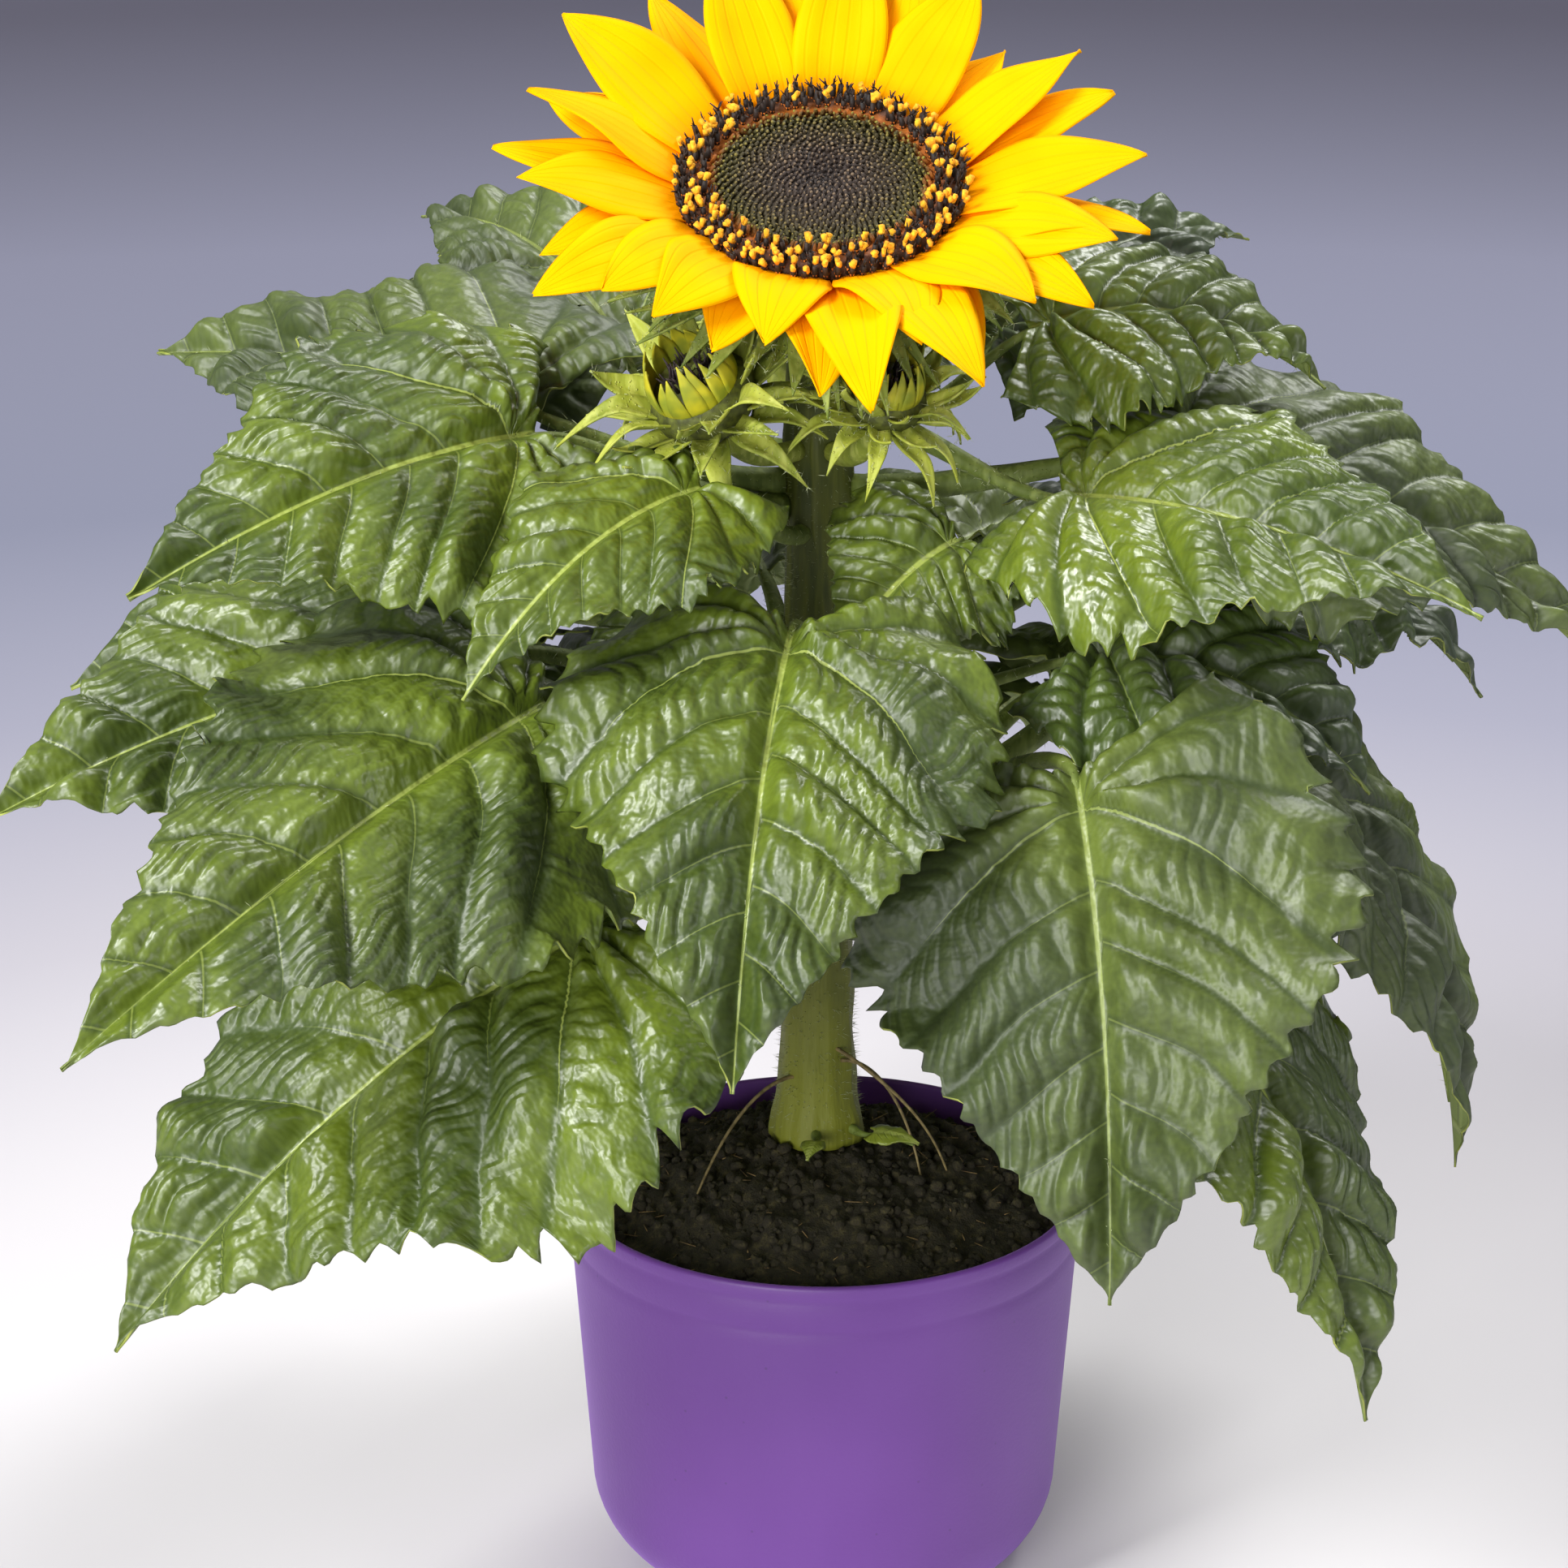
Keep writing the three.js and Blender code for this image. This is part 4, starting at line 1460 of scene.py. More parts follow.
@dataclass
class Soil:
    """The mounded soil with its crumbs, flecks of straw and the stem's thin roots."""

    stem: Stem
    edge_radius: float = 66.6
    edge_height: float = 102
    top: float = 117
    flat: float = 16
    depth: float = 12
    sides: int = 150
    rings: int = 64
    stem_gap: float = 0.035
    crumbs: int = 1500
    crumb_size: float = 2.2
    crumb_reach: float = 0.98
    flecks: int = 150
    fleck_shape: Shape = (4, 0.16, 0.1, 3.6)
    fleck_reach: float = 0.95
    root_steps: int = 26

    def height(self, radius: Array) -> Array:
        """The mound's height.

        Args:
            radius: Distances from the middle.

        Returns:
            The height at each.
        """
        lip = 0.5 * (self.edge_radius + self.flat)
        middle = 0.45 * self.edge_height + 0.55 * self.top
        heights = [self.top, self.top, middle, self.edge_height]
        return np.interp(radius, [0, self.flat, lip, self.edge_radius], heights)

    def at(self, x: Array, y: Array) -> Array:
        """Points on the soil's surface.

        Args:
            x: Each point's place from side to side, before the mound leans to the stem.
            y: Its place from front to back.

        Returns:
            The points, in millimetres.
        """
        radius = np.hypot(x, y)
        lean = np.clip((1 - radius / self.edge_radius) / (1 - self.flat / self.edge_radius), 0, 1)
        rough = 0.9 * ripple(x, y, 16, 31) + 0.6 * ripple(x, y, 6, 32) + 0.4 * ripple(x, y, 3, 33)
        calm = eased(0, 12, self.edge_radius - radius) * 0.7 + 0.3
        height = self.height(radius) + rough * calm * eased(9, 14, radius) - 0.6
        return np.stack([x + self.stem.x * lean, y + self.stem.y * lean, height], axis=-1)

    def build(self) -> None:
        """Makes the soil and what lies on it."""
        surface_share, under_share = 0.8, 0.96

        def place(across: Array, along: Array) -> Array:
            """Runs the mound's surface out to its edge and then back in under it.

            Args:
                across: Each corner's share round the mound, from -1 to 1.
                along: Its share from the middle of the top to the middle underneath.

            Returns:
                The corners, in millimetres.
            """
            angle = np.pi * across
            back = self.edge_radius * (1 - along) / (1 - surface_share)
            out = self.edge_radius * np.clip(along / surface_share, 0, 1)
            radius = np.where(along > surface_share, back, out)
            x, y = radius * np.cos(angle), radius * np.sin(angle)
            floor = np.full(x.shape, self.edge_height - self.depth)
            below = np.stack([x * under_share, y * under_share, floor], axis=-1)
            under = along > surface_share + 0.5 / self.rings
            return np.where(under[:, None], below, self.at(x, y))

        peat = Peat("peat", colour(37, 33, 22), colour(92, 84, 50)).build()
        mesh = sealed(sheet("soil_mound", self.sides, self.rings, place))
        piece("soil_mound", mesh, [peat], "soil", "soil")
        rng = np.random.default_rng(7)
        crumbs = self.scattered(rng, self.crumbs, self.crumb_reach)
        sizes = rng.uniform(0.4, 1.0, (self.crumbs, 1)) ** 2
        sizes = sizes * rng.uniform(0.6, 1.3, (self.crumbs, 3)) * self.crumb_size
        frames = standing(crumbs, rng.normal(size=(self.crumbs, 3)), sizes)
        strewn("soil_crumbs", grain(), frames, peat, "soil", "soil")
        self.straw(rng)
        self.roots()

    def scattered(self, rng: np.random.Generator, count: int, reach: float) -> Array:
        """Random points on the soil, clear of the stem.

        Args:
            rng: Where the chances come from.
            count: How many points.
            reach: How near the edge they get, as a share of its radius.

        Returns:
            The points, in millimetres.
        """
        radius = self.edge_radius * np.sqrt(rng.uniform(self.stem_gap, reach**2, count))
        angle = rng.uniform(0, 2 * np.pi, count)
        return self.at(radius * np.cos(angle), radius * np.sin(angle))

    def straw(self, rng: np.random.Generator) -> None:
        """Lays thin flecks of straw on the soil.

        Args:
            rng: Where the chances come from.
        """
        spots = self.scattered(rng, self.flecks, self.fleck_reach) + 0.5 * UP
        lying = rng.normal(size=(self.flecks, 3)) * np.array([1, 1, 0.18])
        frames = standing(spots, lying, sized(1, rng.uniform(0.4, 1.7, self.flecks)))
        finish = Mottled("straw", colour(150, 124, 74), colour(84, 66, 40)).build()
        strewn("soil_straw", cone(*self.fleck_shape), frames, finish, "soil", "soil")

    def roots(self) -> None:
        """The thin roots that come out of the stem's foot and dive into the soil."""
        routes = (
            ((-130, 9, 137), (-140, 16, 138), (-150, 26, 132), (-146, 36, 115), (-140, 44, 108)),
            ((-50, 10, 142), (-38, 17, 144), (-28, 24, 137), (-30, 30, 124), (-34, 34, 111)),
            ((-60, 9, 146), (-46, 20, 143), (-36, 28, 134), (-24, 33, 128), (-20, 38, 110)),
            ((60, 9, 138), (70, 18, 138), (80, 26, 128), (84, 30, 111)),
        )
        tubes = []
        for index, route in enumerate(routes):
            corners = [self.stem.around(*corner) for corner in route]
            centre = bezier(corners, np.linspace(0, 1, self.root_steps))
            radii = np.linspace(0.6, 0.3, self.root_steps)
            tubes.append(tube(f"root_{index}", centre, radii, 7))
        finish = Mottled("root_skin", colour(150, 132, 84), colour(104, 90, 52)).build()
        piece("soil_roots", joined("soil_roots", tubes), [finish], "stem")


@dataclass
class Strap:
    """A strap that grows along +Y of its own frame, shaped as a ray floret."""

    length: float
    width: float
    bend: float = 0.1
    hook: float = 0
    twist: float = 0
    cup: float = 0.12
    sweep: float = 0
    columns: int = 14
    rows: int = 26
    least: float = 0.03
    rib: float = 0.3
    ribs: float = 1.5
    frill: float = 0.8

    def half(self, along: Array) -> Array:
        """Half width along the strap."""
        swell = np.maximum(np.sin(np.pi * (0.1 + 0.9 * along) ** 0.9), 0)
        return 0.5 * self.width * np.maximum(self.least, swell ** (0.56 + 0.22 * along))

    def ruffled(self, rise: Array, across: Array, along: Array) -> Array:
        """Adds the strap's long ribs and the waves of its edge to its rise."""
        rise = rise + self.rib * np.cos(2 * np.pi * self.ribs * across) * np.sin(np.pi * along)
        return rise + self.frill * np.sin(9 * along + 60 * self.sweep + across) * np.abs(across) ** 3

    def surface(self, across: Array, along: Array) -> Array:
        """Where the strap's corners lie in its own frame.

        Args:
            across: Each corner's share across, from -1 to 1.
            along: Its share along, from 0 to 1.

        Returns:
            The points, in millimetres.
        """
        beside = across * self.half(along)
        rise = self.ruffled(self.cup * np.abs(beside), across, along)
        angle = np.radians(self.twist) * along
        x = beside * np.cos(angle) - rise * np.sin(angle) + self.sweep * self.length * along * along
        dip = self.bend * along * along + self.hook * np.maximum(0, along - 0.5) ** 2
        z = beside * np.sin(angle) + rise * np.cos(angle) - dip * self.length
        return np.stack([x, along * self.length, z], axis=-1)

    def placed(
        self, name: str, turn: float, lift: float, foot: tuple[float, float], send: Callable[[Array], Array]
    ) -> Mesh:
        """Stands the strap on a flower head or a bud.

        Args:
            name: The mesh's name.
            turn: Degrees round the head's axis.
            lift: Degrees over level.
            foot: How far out and how high its foot is, in millimetres.
            send: Takes points of the head's own frame to the plant's.

        Returns:
            The strap, in metres, with a UV map from side to side and from foot to tip.
        """

        def place(across: Array, along: Array) -> Array:
            """Lifts the strap, moves it out and turns it round the axis."""
            points = turned(self.surface(across, along), RIGHT, lift) + np.array([0, *foot])
            return send(turned(points, UP, turn))

        mesh = sheet(name, self.columns, self.rows, place)
        across, along = np.meshgrid(np.linspace(0, 1, self.columns + 1), np.linspace(0, 1, self.rows + 1))
        uv_map(mesh, "petal", np.stack([across.ravel(), along.ravel()], axis=-1))
        return mesh


@dataclass
class Bract(Strap):
    """A smooth pointed strap of the flower's cup or of a bud."""

    columns: int = 6
    rows: int = 16

    def half(self, along: Array) -> Array:
        """Half width along the bract."""
        share = (1 - along) ** 1.1 * (0.75 + 1.6 * along) / 1.05
        return 0.5 * self.width * np.maximum(self.least, share)

    def ruffled(self, rise: Array, across: Array, along: Array) -> Array:
        """Leaves the bract's rise as it is."""
        return rise


# Each ray floret: its turn from the back of the head, its reach, width and bend, and how low it starts.
RAYS = (
    (56, 53, 25, 0.15, 0),
    (76, 48, 22, 0.2, 0),
    (88, 52, 22, 0.1, 1),
    (98, 46, 22, 0.2, 0),
    (124, 52, 23, 0.3, 1),
    (130, 40, 24, 0.35, 0),
    (143, 37, 25, 0.5, 0),
    (166, 32, 25, 0.6, 0),
    (-171, 52, 24, 0.45, 1),
    (-154, 53, 23, 0.4, 1),
    (-158, 36, 26, 0.5, 0),
    (-135, 42, 26, 0.35, 0),
    (-126, 51, 21, 0.3, 1),
    (-115, 49, 24, 0.2, 0),
    (-107, 54, 24, 0.15, 1),
    (-94, 52, 24, 0.1, 0),
    (-71, 49, 22, 0.1, 1),
    (-64, 47, 24, 0.1, 0),
    (-32, 47, 25, 0.05, 0),
    (34, 47, 24, 0.05, 1),
    (20, 52, 24, 0.05, 0),
    (7, 51, 23, 0.05, 1),
    (-6, 52, 24, 0.05, 0),
    (-19, 51, 23, 0.05, 1),
    (44, 40, 22, 0.1, 2),
    (-46, 38, 22, 0.1, 2),
    (66, 44, 22, 0.15, 2),
    (-83, 44, 22, 0.15, 2),
    (110, 42, 22, 0.3, 2),
    (153, 30, 22, 0.4, 2),
    (179, 40, 22, 0.4, 2),
    (-145, 38, 22, 0.4, 2),
)

# Radius and height pairs from axis to axis: the disc's dome, the green cup, and a bud of radius 1.
DISC_PROFILE = (
    (0, -6), (31, -6), (34, -3), (35, 0), (34, 2.6), (30, 3.2), (26, 2.2), (18, 3.2), (9, 4), (0, 3.4),
)
CUP_PROFILE = (
    (0, -27), (9, -27), (14, -25), (17, -22), (22, -18), (27, -15.3), (31, -12), (32, -9.6), (0, -9.6),
)
BUD_PROFILE = ((0, -0.75), (0.5, -0.66), (0.85, -0.3), (0.9, 0.1), (0.62, 0.4), (0.3, 0.44), (0, 0.4))

# Each row of a bud's bracts: how many, their degrees over level, and their height for a radius of 1.
BUD_BRACTS = ((12, -4, -0.5), (11, 20, -0.3), (11, 44, -0.05))

# The slot and the node of the disc's pieces and of the cup's.
DISC = ("disc", "flower_disc")
CUP = ("bract", "flower_cup")


@dataclass
class Head:
    """The flower head: its cup, rays and disc, on an axis that leans towards the front.

    Each small shape is given by its sides, its lower and upper radius and its length.
    """

    x: float = -2
    y: float = -10
    height: float = 383
    tilt: float = 27
    disc_radius: float = 36
    cup_bottom: float = -27
    lift_back: float = 30
    lift_front: float = 8
    ray_foot: float = 31
    ray_height: float = -2.2
    ray_step: float = 1.2
    ray_drop: float = 5
    ray_thickness: float = 0.35
    bracts: int = 18
    hanging_bracts: int = 13
    bract_thickness: float = 0.6
    seeds: int = 900
    seed_radius: float = 28.4
    seed_shape: Shape = (6, 0.8, 0.4, 1.9)
    floret_rows: tuple[float, ...] = (29.6, 31.6, 33.5, 35.2)
    floret_gap: float = 2.9
    floret_cup: Shape = (5, 0.5, 0.9, 1.9)
    anther: Shape = (6, 0.9, 0.66, 4.4)
    pollen: Shape = (5, 0.62, 0.78, 1.9)
    fork: Shape = (4, 0.24, 0.1, 2.2)
    pollen_front: float = 0.62
    pollen_fade: float = 0.42

    def out(self, x: float, y: float, z: float) -> Array:
        """A point of the head's own frame in the plant's."""
        return self.moved(np.array([[x, y, z]], float))[0]

    def moved(self, points: Array) -> Array:
        """Points of the head's own frame in the plant's."""
        return self.swung(points) + np.array([self.x, self.y, self.height])

    def swung(self, vectors: Array) -> Array:
        """Directions of the head's own frame in the plant's."""
        return turned(vectors, RIGHT, self.tilt)

    def lift(self, turn: float) -> float:
        """Degrees that a ray rises over level: those at the back stand, those in front hang."""
        back = 0.5 + 0.5 * math.cos(math.radians(turn))
        return self.lift_front + (self.lift_back - self.lift_front) * back

    def build(self) -> Array:
        """Makes the head.

        Returns:
            Corners of the cup and bracts, in millimetres, for their hairs.
        """
        self.build_rays()
        self.build_disc()
        return self.build_cup()

    def build_rays(self) -> None:
        """Makes the ray florets, each aimed so that its tip ends at its own turn, lift and reach."""
        rng = np.random.default_rng(21)
        rays = []
        for index, (turn, reach, width, bend, level) in enumerate(RAYS):
            lift = self.lift(turn) - self.ray_drop * level + math.degrees(math.atan(bend))
            spec = Strap(
                length=reach / math.hypot(1, bend),
                width=width,
                bend=0.6 * bend,
                hook=1.6 * bend,
                twist=rng.uniform(-26, 26),
                cup=rng.uniform(0.0, 0.2),
                sweep=rng.uniform(-0.05, 0.05),
            )
            foot = (self.ray_foot, self.ray_height - self.ray_step * level)
            rays.append(spec.placed(f"ray_{index}", turn, lift, foot, self.moved))
        petal = PetalSkin("petal", colour(255, 180, 0), colour(248, 140, 0), colour(248, 156, 0)).build()
        walled(piece("rays", joined("rays", rays), [petal], "ray", "flower_rays"), self.ray_thickness)

    def seed_finish(self, name: str, stops: Stops) -> Material:
        """A finish whose shade changes from the disc's middle outward."""
        return SeedHead(name, tuple(self.out(0, 0, 3) * MM), self.disc_radius * MM, stops).build()

    def build_disc(self) -> None:
        """Makes the disc: its dome, the closed florets in their spirals and the open ones."""
        dome = brought(lathe("disc_dome", DISC_PROFILE, 72), self.moved)
        shades = shade_stops(
            (0.0, 30, 20, 16),
            (0.25, 50, 37, 28),
            (0.5, 54, 43, 22),
            (0.7, 64, 59, 14),
            (0.79, 170, 92, 12),
            (0.86, 90, 46, 8),
            (1.0, 44, 26, 8),
        )
        seeds = self.seed_finish("seed_head", shades)
        piece("disc_dome", dome, [seeds], *DISC)
        count = np.arange(1, self.seeds + 1)
        radius = self.seed_radius * np.sqrt(count / self.seeds)
        angle = np.radians(GOLDEN_TURN) * count
        height = np.interp(radius, [0, 9, 18, 26, 30], [3.2, 3.8, 3.0, 2.2, 3.0])
        feet = round_points(radius, angle, height - 0.4)
        inward = -0.55 * feet / np.maximum(radius, 1)[:, None] * np.array([1, 1, 0]) + UP
        swell = np.interp(radius, [0, 8, 28], [0.8, 0.95, 1.05])
        tall = swell * np.interp(radius, [0, 20, 28], [1.0, 1.1, 1.5])
        feet, inward = self.moved(feet), self.swung(unit(inward))
        shaken = np.random.default_rng(16).normal(size=feet.shape) * 0.12
        frames = standing(feet, inward + shaken, sized(swell, tall))
        strewn("disc_seeds", cone(*self.seed_shape), frames, seeds, *DISC)
        tips = feet + inward * (1.85 * tall)[:, None]
        rng = np.random.default_rng(17)
        shift = self.swung(rng.normal(size=tips.shape) * np.array([0.18, 0.18, 0.12]))
        ways = inward + rng.normal(size=tips.shape) * 0.4
        frames = standing(tips + shift, ways, rng.uniform(0.15, 0.55, (self.seeds, 3)))
        shades = shade_stops((0.0, 60, 47, 38), (0.3, 122, 102, 78), (0.6, 116, 102, 50), (0.8, 140, 132, 38))
        strewn("disc_seed_tips", grain(), frames, self.seed_finish("seed_tip", shades), *DISC)
        self.build_florets()

    def build_florets(self) -> None:
        """Makes the ring of open florets: orange cups, dark tubes, pollen and forked tips."""
        rng = np.random.default_rng(5)
        feet, leans, backs = [], [], []
        for row, radius in enumerate(self.floret_rows):
            count = int(2 * math.pi * radius / self.floret_gap)
            for index in range(count):
                angle = 2 * math.pi * (index + 0.5 * row) / count + rng.uniform(-0.03, 0.03)
                away = radius + rng.uniform(-0.5, 0.5)
                direction = np.array([math.cos(angle), math.sin(angle), 0])
                feet.append(direction * away + np.array([0, 0, 2.0 - 0.5 * row]))
                leans.append(UP + direction * (0.1 * row - 0.05) + rng.normal(size=3) * 0.08)
                backs.append(0.5 + 0.5 * math.sin(angle))
        feet, leans, backs = np.array(feet), np.array(leans), np.array(backs)
        feet, leans = self.moved(feet), self.swung(unit(leans))
        count = len(feet)
        orange = Mottled("floret_cup", colour(214, 114, 8), colour(104, 48, 6), 240).build()
        dark = Mottled("anther", colour(20, 12, 8), colour(44, 25, 10), roughness=0.6).build()
        pollen = Mottled("pollen", colour(248, 192, 34), colour(226, 148, 12), 900, 0.8).build()
        frames = standing(feet, leans, np.ones((count, 1)))
        strewn("disc_cups", cone(*self.floret_cup), frames, orange, *DISC)
        tall = rng.uniform(0.75, 1.15, count)
        frames = standing(feet, leans, sized(1, tall))
        strewn("disc_anthers", cone(*self.anther), frames, dark, *DISC)
        tips = feet + leans * (4.7 * tall)[:, None]
        yellow = rng.uniform(size=count) < self.pollen_front - self.pollen_fade * backs
        heads = np.repeat(tips[yellow], 2, axis=0)
        ways = np.repeat(leans[yellow], 2, axis=0) + rng.normal(size=heads.shape) * 0.25
        heads = heads + ways * rng.uniform(-0.9, 0.5, (len(heads), 1)) + rng.normal(size=heads.shape) * 0.22
        sizes = rng.uniform([0.8, 0.8, 0.7], [1.2, 1.2, 1.3], (len(heads), 3))
        frames = standing(heads, ways, sizes)
        strewn("disc_pollen", cone(*self.pollen), frames, pollen, *DISC)
        forks = np.repeat(tips[~yellow], 3, axis=0)
        ways = np.repeat(leans[~yellow], 3, axis=0) + rng.normal(size=forks.shape) * 0.4
        frames = standing(forks - ways * 0.4, ways, rng.uniform(0.7, 1.4, (len(forks), 1)))
        strewn("disc_forks", cone(*self.fork), frames, dark, *DISC)

    def build_cup(self) -> Array:
        """Makes the green cup and its bracts.

        Returns:
            The bracts' corners, in millimetres, for their hairs.
        """
        dome = brought(lathe("cup_dome", CUP_PROFILE, 60), self.moved)
        rng = np.random.default_rng(9)
        bracts = []
        for row in range(2):
            for index in range(self.bracts):
                turn = (index + 0.5 * row) * 360 / self.bracts + rng.uniform(-4, 4)
                spec = Bract(
                    length=rng.uniform(24, 33),
                    width=rng.uniform(7, 9.5),
                    bend=rng.uniform(-0.1, 0.45),
                    twist=rng.uniform(-30, 30),
                    cup=0.25,
                    sweep=rng.uniform(-0.15, 0.15),
                )
                lift = self.lift(turn) - 14 - 10 * row + rng.uniform(-8, 6)
                foot = (27 - 3 * row, -13 - 3 * row)
                bracts.append(spec.placed(f"bract_{row}_{index}", turn, lift, foot, self.moved))
        for index in range(self.hanging_bracts):
            turn = 60 + index * 20 + rng.uniform(-7, 7)
            spec = Bract(
                length=rng.uniform(22, 32),
                width=rng.uniform(4, 5.5),
                bend=rng.uniform(-0.2, 0.3),
                hook=rng.uniform(-1.5, 1.0),
                twist=rng.uniform(-50, 50),
                cup=0.3,
                sweep=rng.uniform(-0.3, 0.3),
            )
            lift = self.lift(turn) - rng.uniform(26, 62)
            bracts.append(spec.placed(f"bract_hanging_{index}", turn, lift, (24, -15), self.moved))
        finish = Stalk("bract_skin", colour(124, 138, 46), colour(92, 110, 32), colour(172, 182, 88)).build()
        piece("cup_dome", dome, [finish], *CUP)
        mesh = joined("cup_bracts", bracts)
        hairy = corners_of(mesh)
        walled(piece("cup_bracts", mesh, [finish], *CUP), self.bract_thickness)
        return hairy


@dataclass
class Bud:
    """A side bud on its stalk, wrapped in bracts whose tips bend out."""

    name: str
    joint: float
    turn: float
    reach: float
    height: float
    radius: float
    lean: float
    opened: float
    stem: Stem = field(default_factory=Stem)
    thickness: float = 0.5
    ring: float = 0.72
    petals: int = 18
    florets: int = 46
    stalk_steps: int = 30
    stalk_sides: int = 14

    def moved(self, points: Array) -> Array:
        """Takes points of the bud's own frame to the plant's.

        Args:
            points: The points, in millimetres from the bud's middle.

        Returns:
            The points, in millimetres from the plant's foot.
        """
        angle = math.radians(self.turn)
        axis = np.array([-math.sin(angle), math.cos(angle), 0])
        return turned(points, axis, self.lean) + self.stem.around(self.turn, self.reach, self.height)

    def build(self, finishes: "BudFinishes") -> Array:
        """Makes the bud and its stalk.

        Args:
            finishes: The materials of buds.

        Returns:
            Corners of the bracts, in millimetres, for their hairs.
        """
        size = self.radius
        rng = np.random.default_rng(int(self.reach * 10 + self.turn + 200))
        body = brought(lathe(f"{self.name}_core", np.array(BUD_PROFILE) * size, 28), self.moved)
        piece(f"{self.name}_core", body, [finishes.core], "bract", self.name)
        bracts, petals = [], []
        for row, (count, lift, foot) in enumerate(BUD_BRACTS):
            for index in range(count):
                turn = (index + 0.5 * row) * 360 / count + rng.uniform(-6, 6)
                outer = row == 0 or rng.uniform() < 0.25
                spec = Bract(
                    length=size * rng.uniform(1.2, 1.5),
                    width=size * rng.uniform(0.5, 0.66),
                    bend=-0.2 + 0.25 * self.opened,
                    hook=rng.uniform(1.2, 3.2) if outer else rng.uniform(-1.0, 0.6),
                    twist=rng.uniform(-35, 35),
                    cup=0.4,
                    sweep=rng.uniform(-0.2, 0.2),
                )
                raised = lift + rng.uniform(-8, 8)
                at = (self.ring * size, foot * size)
                bracts.append(spec.placed(f"{self.name}_{row}_{index}", turn, raised, at, self.moved))
        for index in range(self.petals):
            length = size * rng.uniform(0.6, 0.9)
            spec = Bract(length=length, width=size * 0.4, bend=-0.5, columns=4, rows=8)
            turn = index * 360 / self.petals + rng.uniform(-6, 6)
            raised = 84 - 12 * self.opened + rng.uniform(-6, 6)
            at = (self.ring * size, 0.2 * size)
            petals.append(spec.placed(f"{self.name}_p{index}", turn, raised, at, self.moved))
        self.build_heart(finishes, rng)
        mesh = joined(f"{self.name}_bracts", bracts)
        hairy = corners_of(mesh)
        walled(piece(f"{self.name}_bracts", mesh, [finishes.bract], "bract", self.name), self.thickness)
        mesh = joined(f"{self.name}_petals", petals)
        walled(piece(f"{self.name}_petals", mesh, [finishes.petal], "ray", self.name), self.thickness)
        self.build_stalk(finishes)
        return hairy

    def build_heart(self, finishes: "BudFinishes", rng: np.random.Generator) -> None:
        """Makes the dark unopened florets in the middle.

        Args:
            finishes: The materials of buds.
            rng: Where the chances come from.
        """
        count = self.florets
        away = 0.42 * np.sqrt(rng.uniform(0, 1, count))
        angle = rng.uniform(0, 2 * np.pi, count)
        feet = round_points(away, angle, 0.36) * self.radius
        ways = UP + round_points(1, angle, 0) * rng.uniform(-0.4, 0.9, (count, 1))
        foot, top = self.moved(feet), self.moved(feet + ways)
        spikes = standing(foot, top - foot, np.ones((count, 1)))
        pattern = cone(5, 0.7, 0.15, 0.42 * self.radius)
        strewn(f"{self.name}_heart", pattern, spikes, finishes.heart, "disc", self.name)

    def build_stalk(self, finishes: "BudFinishes") -> None:
        """Makes the bud's stalk.

        Args:
            finishes: The materials of buds.
        """
        foot = float(self.stem.radius(self.joint)) + 0.2
        start = self.stem.around(self.turn, foot, self.joint)
        out = self.stem.around(self.turn, 0.5 * (foot + self.reach), self.joint)
        into, end = self.moved(np.array([[0, 0, -1.3], [0, 0, -0.6]]) * self.radius)
        centre = bezier([start, out, into, end], np.linspace(0, 1, self.stalk_steps))
        radii = np.linspace(2.8, 3.4, self.stalk_steps)
        mesh = tube(f"{self.name}_stalk", centre, radii, self.stalk_sides)
        piece(f"{self.name}_stalk", mesh, [finishes.bract], "bract", self.name)


class BudFinishes:
    """The materials that all buds share."""

    def __init__(self) -> None:
        """Makes each material once."""
        greens = colour(164, 172, 56), colour(120, 134, 38), colour(204, 208, 108)
        self.bract = Stalk("bud_bract", *greens).build()
        self.core = Mottled("bud_core", colour(90, 96, 30), colour(56, 60, 18)).build()
        self.heart = Mottled("bud_heart", colour(34, 24, 30), colour(66, 52, 50), 700).build()
        self.petal = Mottled("bud_petal", colour(204, 192, 34), colour(132, 142, 34), 140).build()


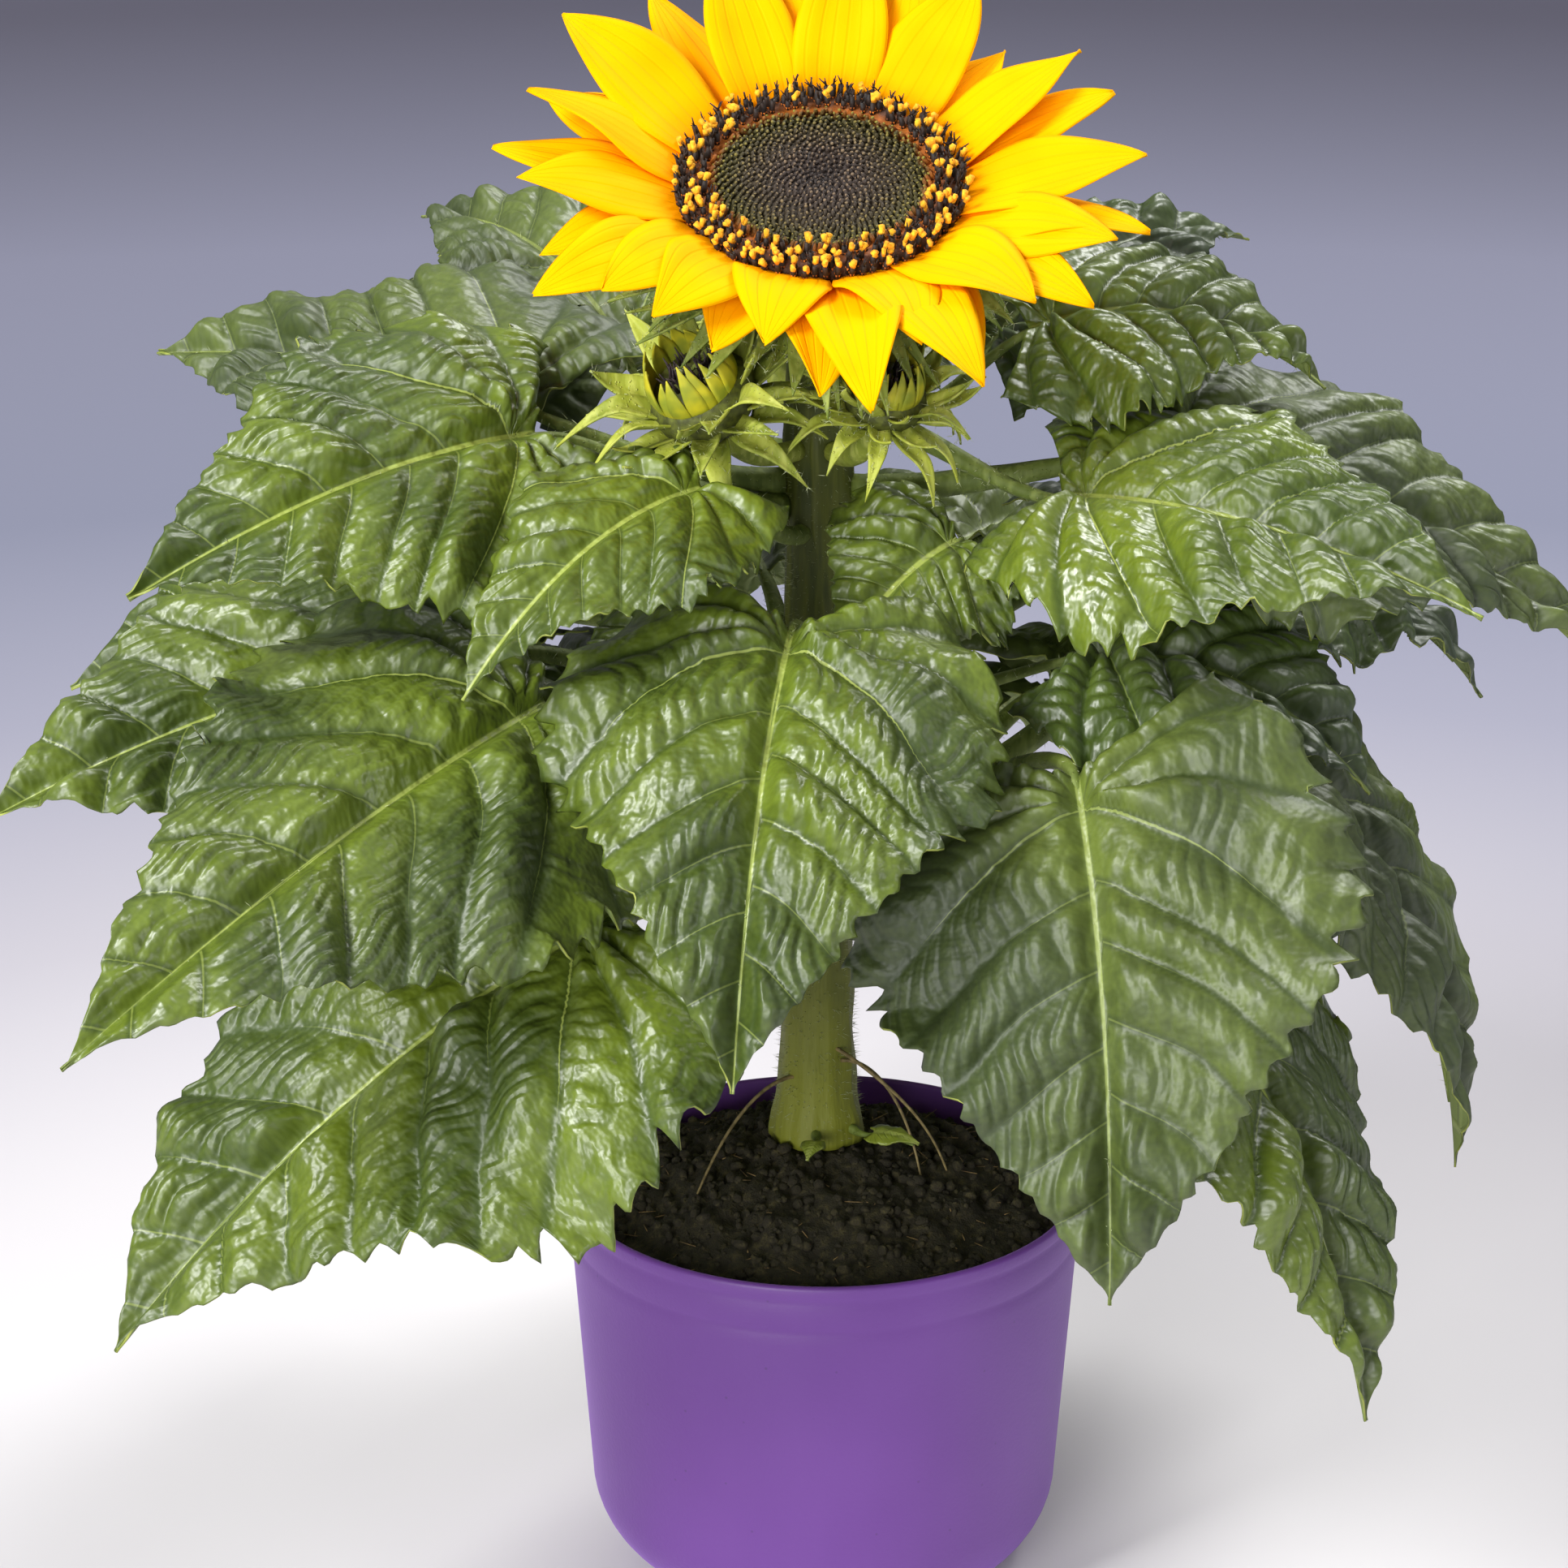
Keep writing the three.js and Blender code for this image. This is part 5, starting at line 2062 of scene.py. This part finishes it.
@dataclass
class Hairs:
    """The short pale hairs of stem, stalks and bracts."""

    seed: int = 12
    stem_count: int = 3600
    stalk_count: int = 5200
    flower_count: int = 2600
    length: float = 2.1
    radius: float = 0.09
    tousle: float = 0.3

    def __post_init__(self) -> None:
        """Makes the hairs' material."""
        pale = colour(206, 212, 170), colour(176, 186, 132)
        self.finish = Mottled("plant_hair", *pale, 300, 0.5).build()

    def build(self, name: str, feet: Array, ways: Array, slot: str, node: str) -> None:
        """Makes one patch of hairs.

        Args:
            name: The piece's name.
            feet: Where the hairs stand, in millimetres.
            ways: Which way each goes.
            slot: A material slot's name, passed on to `strewn`.
            node: A solid that the hairs belong to.
        """
        rng = np.random.default_rng(self.seed)
        sizes = sized(1, rng.uniform(0.6, 1.35, len(feet)))
        bent = unit(ways) + rng.normal(size=ways.shape) * self.tousle
        hair = cone(3, self.radius, 0, self.length)
        strewn(name, hair, standing(feet, bent, sizes), self.finish, slot, node)

    def on_stem(self, stem: Stem) -> None:
        """Strews hairs over the stem's straight length.

        Args:
            stem: The stem.
        """
        rng = np.random.default_rng(self.seed + 1)
        height = rng.uniform(stem.foot + 2, stem.straight_top, self.stem_count)
        out = round_points(1, rng.uniform(0, 2 * np.pi, self.stem_count), 0)
        skin = out * (stem.radius(height) - 0.4)[:, None]
        feet = np.array([stem.x, stem.y, 0]) + skin + height[:, None] * UP
        self.build("stem_hairs", feet, out + 0.15 * UP, "stem", "stem")

    def on_points(self, name: str, corners: Array, count: int, slot: str, node: str) -> None:
        """Strews hairs over a piece, standing away in every direction.

        Args:
            name: The hairs' own name.
            corners: The corners of what they stand on, in millimetres.
            count: How many hairs.
            slot: A material slot's name, passed on to `build`.
            node: A solid that the hairs belong to.
        """
        rng = np.random.default_rng(self.seed + 2)
        chosen = corners[rng.integers(0, len(corners), count)]
        feet = chosen + rng.normal(size=chosen.shape) * 0.25
        self.build(name, feet, rng.normal(size=chosen.shape), slot, node)


# Each lamp: its name, where it stands and its width in metres, and its power in watts.
LAMPS = (
    ("key_light", (-1.3, -1.0, 1.6), 0.7, 50),
    ("front_light", (-0.8, -1.9, 0.5), 0.85, 31),
    ("top_light", (0.65, 0.8, 1.7), 0.7, 28),
    ("side_light", (1.7, -1.1, 0.35), 0.6, 6),
)


@dataclass
class Studio:
    """The pale floor and sweep, the soft lights and the camera at the photo's angle."""

    target: tuple[float, float, float] = (-0.011, 0, 0.2227)
    distance: float = 1.15
    elevation: float = 19.4
    focal_pixels: float = 5386
    frame_pixels: float = 1932
    sensor: float = 36
    floor_radius: float = 2700
    bend_radius: float = 500
    wall_height: float = 500
    sweep_sides: int = 120
    sweep_rings: int = 60
    paper_reach: float = 2.6
    sky: Colour = colour(236, 236, 244)
    sky_strength: float = 0.4

    def build(self) -> None:
        """Sets everything up."""
        self.build_sweep()
        self.build_lights()
        self.build_camera()
        bpy.context.scene.view_settings.view_transform = "Standard"

    def build_sweep(self) -> None:
        """Makes the round floor, which bends up into a low backdrop all round."""

        def place(across: Array, along: Array) -> Array:
            """Runs out over the floor, round the bend and up the wall.

            Args:
                across: Each corner's share round the plant, from -1 to 1.
                along: Its share from the floor's middle to the top of the wall.

            Returns:
                The corners, in millimetres.
            """
            bent = self.bend_radius * np.pi / 2
            run = along * (self.floor_radius + bent + self.wall_height)
            turn = np.clip((run - self.floor_radius) / self.bend_radius, 0, np.pi / 2)
            radius = np.minimum(run, self.floor_radius) + self.bend_radius * np.sin(turn)
            rise = np.maximum(0, run - self.floor_radius - bent) + self.bend_radius * (1 - np.cos(turn))
            return round_points(radius, np.pi * across, rise)

        mesh = sealed(sheet("studio_sweep", self.sweep_sides, self.sweep_rings, place))
        mesh.shade_smooth()
        sweep = bpy.data.objects.new("studio_sweep", mesh)
        bpy.context.scene.collection.objects.link(sweep)
        mesh.materials.append(self.paper())

    def paper(self) -> Material:
        """The backdrop paper, pale round the plant and darker grey violet further out: a painted falloff of
        light.

        Returns:
            The finished material.
        """
        paint = Paint("studio_paper_painted_falloff")
        away = paint.node("ShaderNodeVectorMath", {"operation": "LENGTH"}, {0: paint.spot()}, "Value")
        shades = shade_stops(
            (0.0, 232, 230, 229),
            (0.13, 204, 201, 203),
            (0.2, 180, 177, 184),
            (0.3, 154, 154, 170),
            (0.42, 136, 139, 159),
            (0.65, 156, 157, 178),
            (1.0, 138, 136, 152),
        )
        # Painted light: the paper's tone changes with distance from the plant, pale near it and darker
        # further out, standing in for the lamps' falloff.
        tone = paint.ramp(away * (1 / self.paper_reach), shades)
        return paint.finish(base_color=tone, roughness=0.9)

    def build_lights(self) -> None:
        """Makes the soft lights and the sky."""
        for lamp in LAMPS:
            self.lamp(*lamp)
        world = bpy.data.worlds.new("studio_air")
        world.use_nodes = True
        air = world.node_tree.nodes["Background"]
        air.inputs["Color"].default_value = self.sky
        air.inputs["Strength"].default_value = self.sky_strength
        bpy.context.scene.world = world

    def lamp(self, name: str, place: tuple[float, float, float], size: float, power: float) -> None:
        """Adds one square lamp that faces the plant.

        Args:
            name: Its name.
            place: Where it stands, in metres.
            size: Its width, in metres.
            power: Its power, in watts.
        """
        light = bpy.data.lights.new(name, "AREA")
        light.size = size
        light.energy = power
        lamp = bpy.data.objects.new(name, light)
        lamp.location = place
        way = Vector(self.target) - Vector(place)
        lamp.rotation_euler = way.to_track_quat("-Z", "Y").to_euler()
        bpy.context.scene.collection.objects.link(lamp)

    def build_camera(self) -> None:
        """Adds the camera."""
        lens = bpy.data.cameras.new("camera")
        lens.sensor_width = self.sensor
        lens.lens = self.sensor * self.focal_pixels / self.frame_pixels
        camera = bpy.data.objects.new("camera", lens)
        rise = math.radians(self.elevation)
        back = Vector((0, -math.cos(rise), math.sin(rise)))
        camera.location = Vector(self.target) + back * self.distance
        camera.rotation_euler = (math.pi / 2 - rise, 0, 0)
        bpy.context.scene.collection.objects.link(camera)
        bpy.context.scene.camera = camera


# Each bud: its name, its stalk's height on the stem, its turn, reach, height, radius and lean, and
# how far it has opened.
BUDS = (
    Bud("bud_left", 312, -130, 46, 334, 15.5, 38, 0.9),
    Bud("bud_right", 312, -66, 40, 334, 12, 30, 0.3),
    Bud("bud_back", 314, 112, 40, 342, 12, 26, 0.3),
)


def main() -> None:
    """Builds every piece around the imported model."""
    logging.basicConfig(level=logging.INFO, format="%(message)s")
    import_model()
    Studio().build()
    Pot().build()
    stem, head = Stem(), Head()
    Soil(stem).build()
    leaves = [Leaf(*values, index=index) for index, values in enumerate(LEAVES)]
    stem.build(head, [leaf.joint for leaf in leaves])
    hairs = Hairs()
    hairs.on_stem(stem)
    finishes = LeafFinishes()
    stalks = [leaf.build(finishes) for leaf in leaves]
    large_stalks = np.concatenate([corners for leaf, corners in zip(leaves, stalks) if not leaf.small])
    hairs.on_points("stalk_hairs", large_stalks, hairs.stalk_count, "leaf", "leaf_top_left")
    hairs.on_points("cup_hairs", head.build(), hairs.flower_count, *CUP)
    bud_finishes = BudFinishes()
    tufts = [bud.build(bud_finishes) for bud in BUDS]
    hairs.on_points("bud_hairs", np.concatenate(tufts), hairs.flower_count, "bract", "bud_left")


if __name__ == "__main__":
    main()
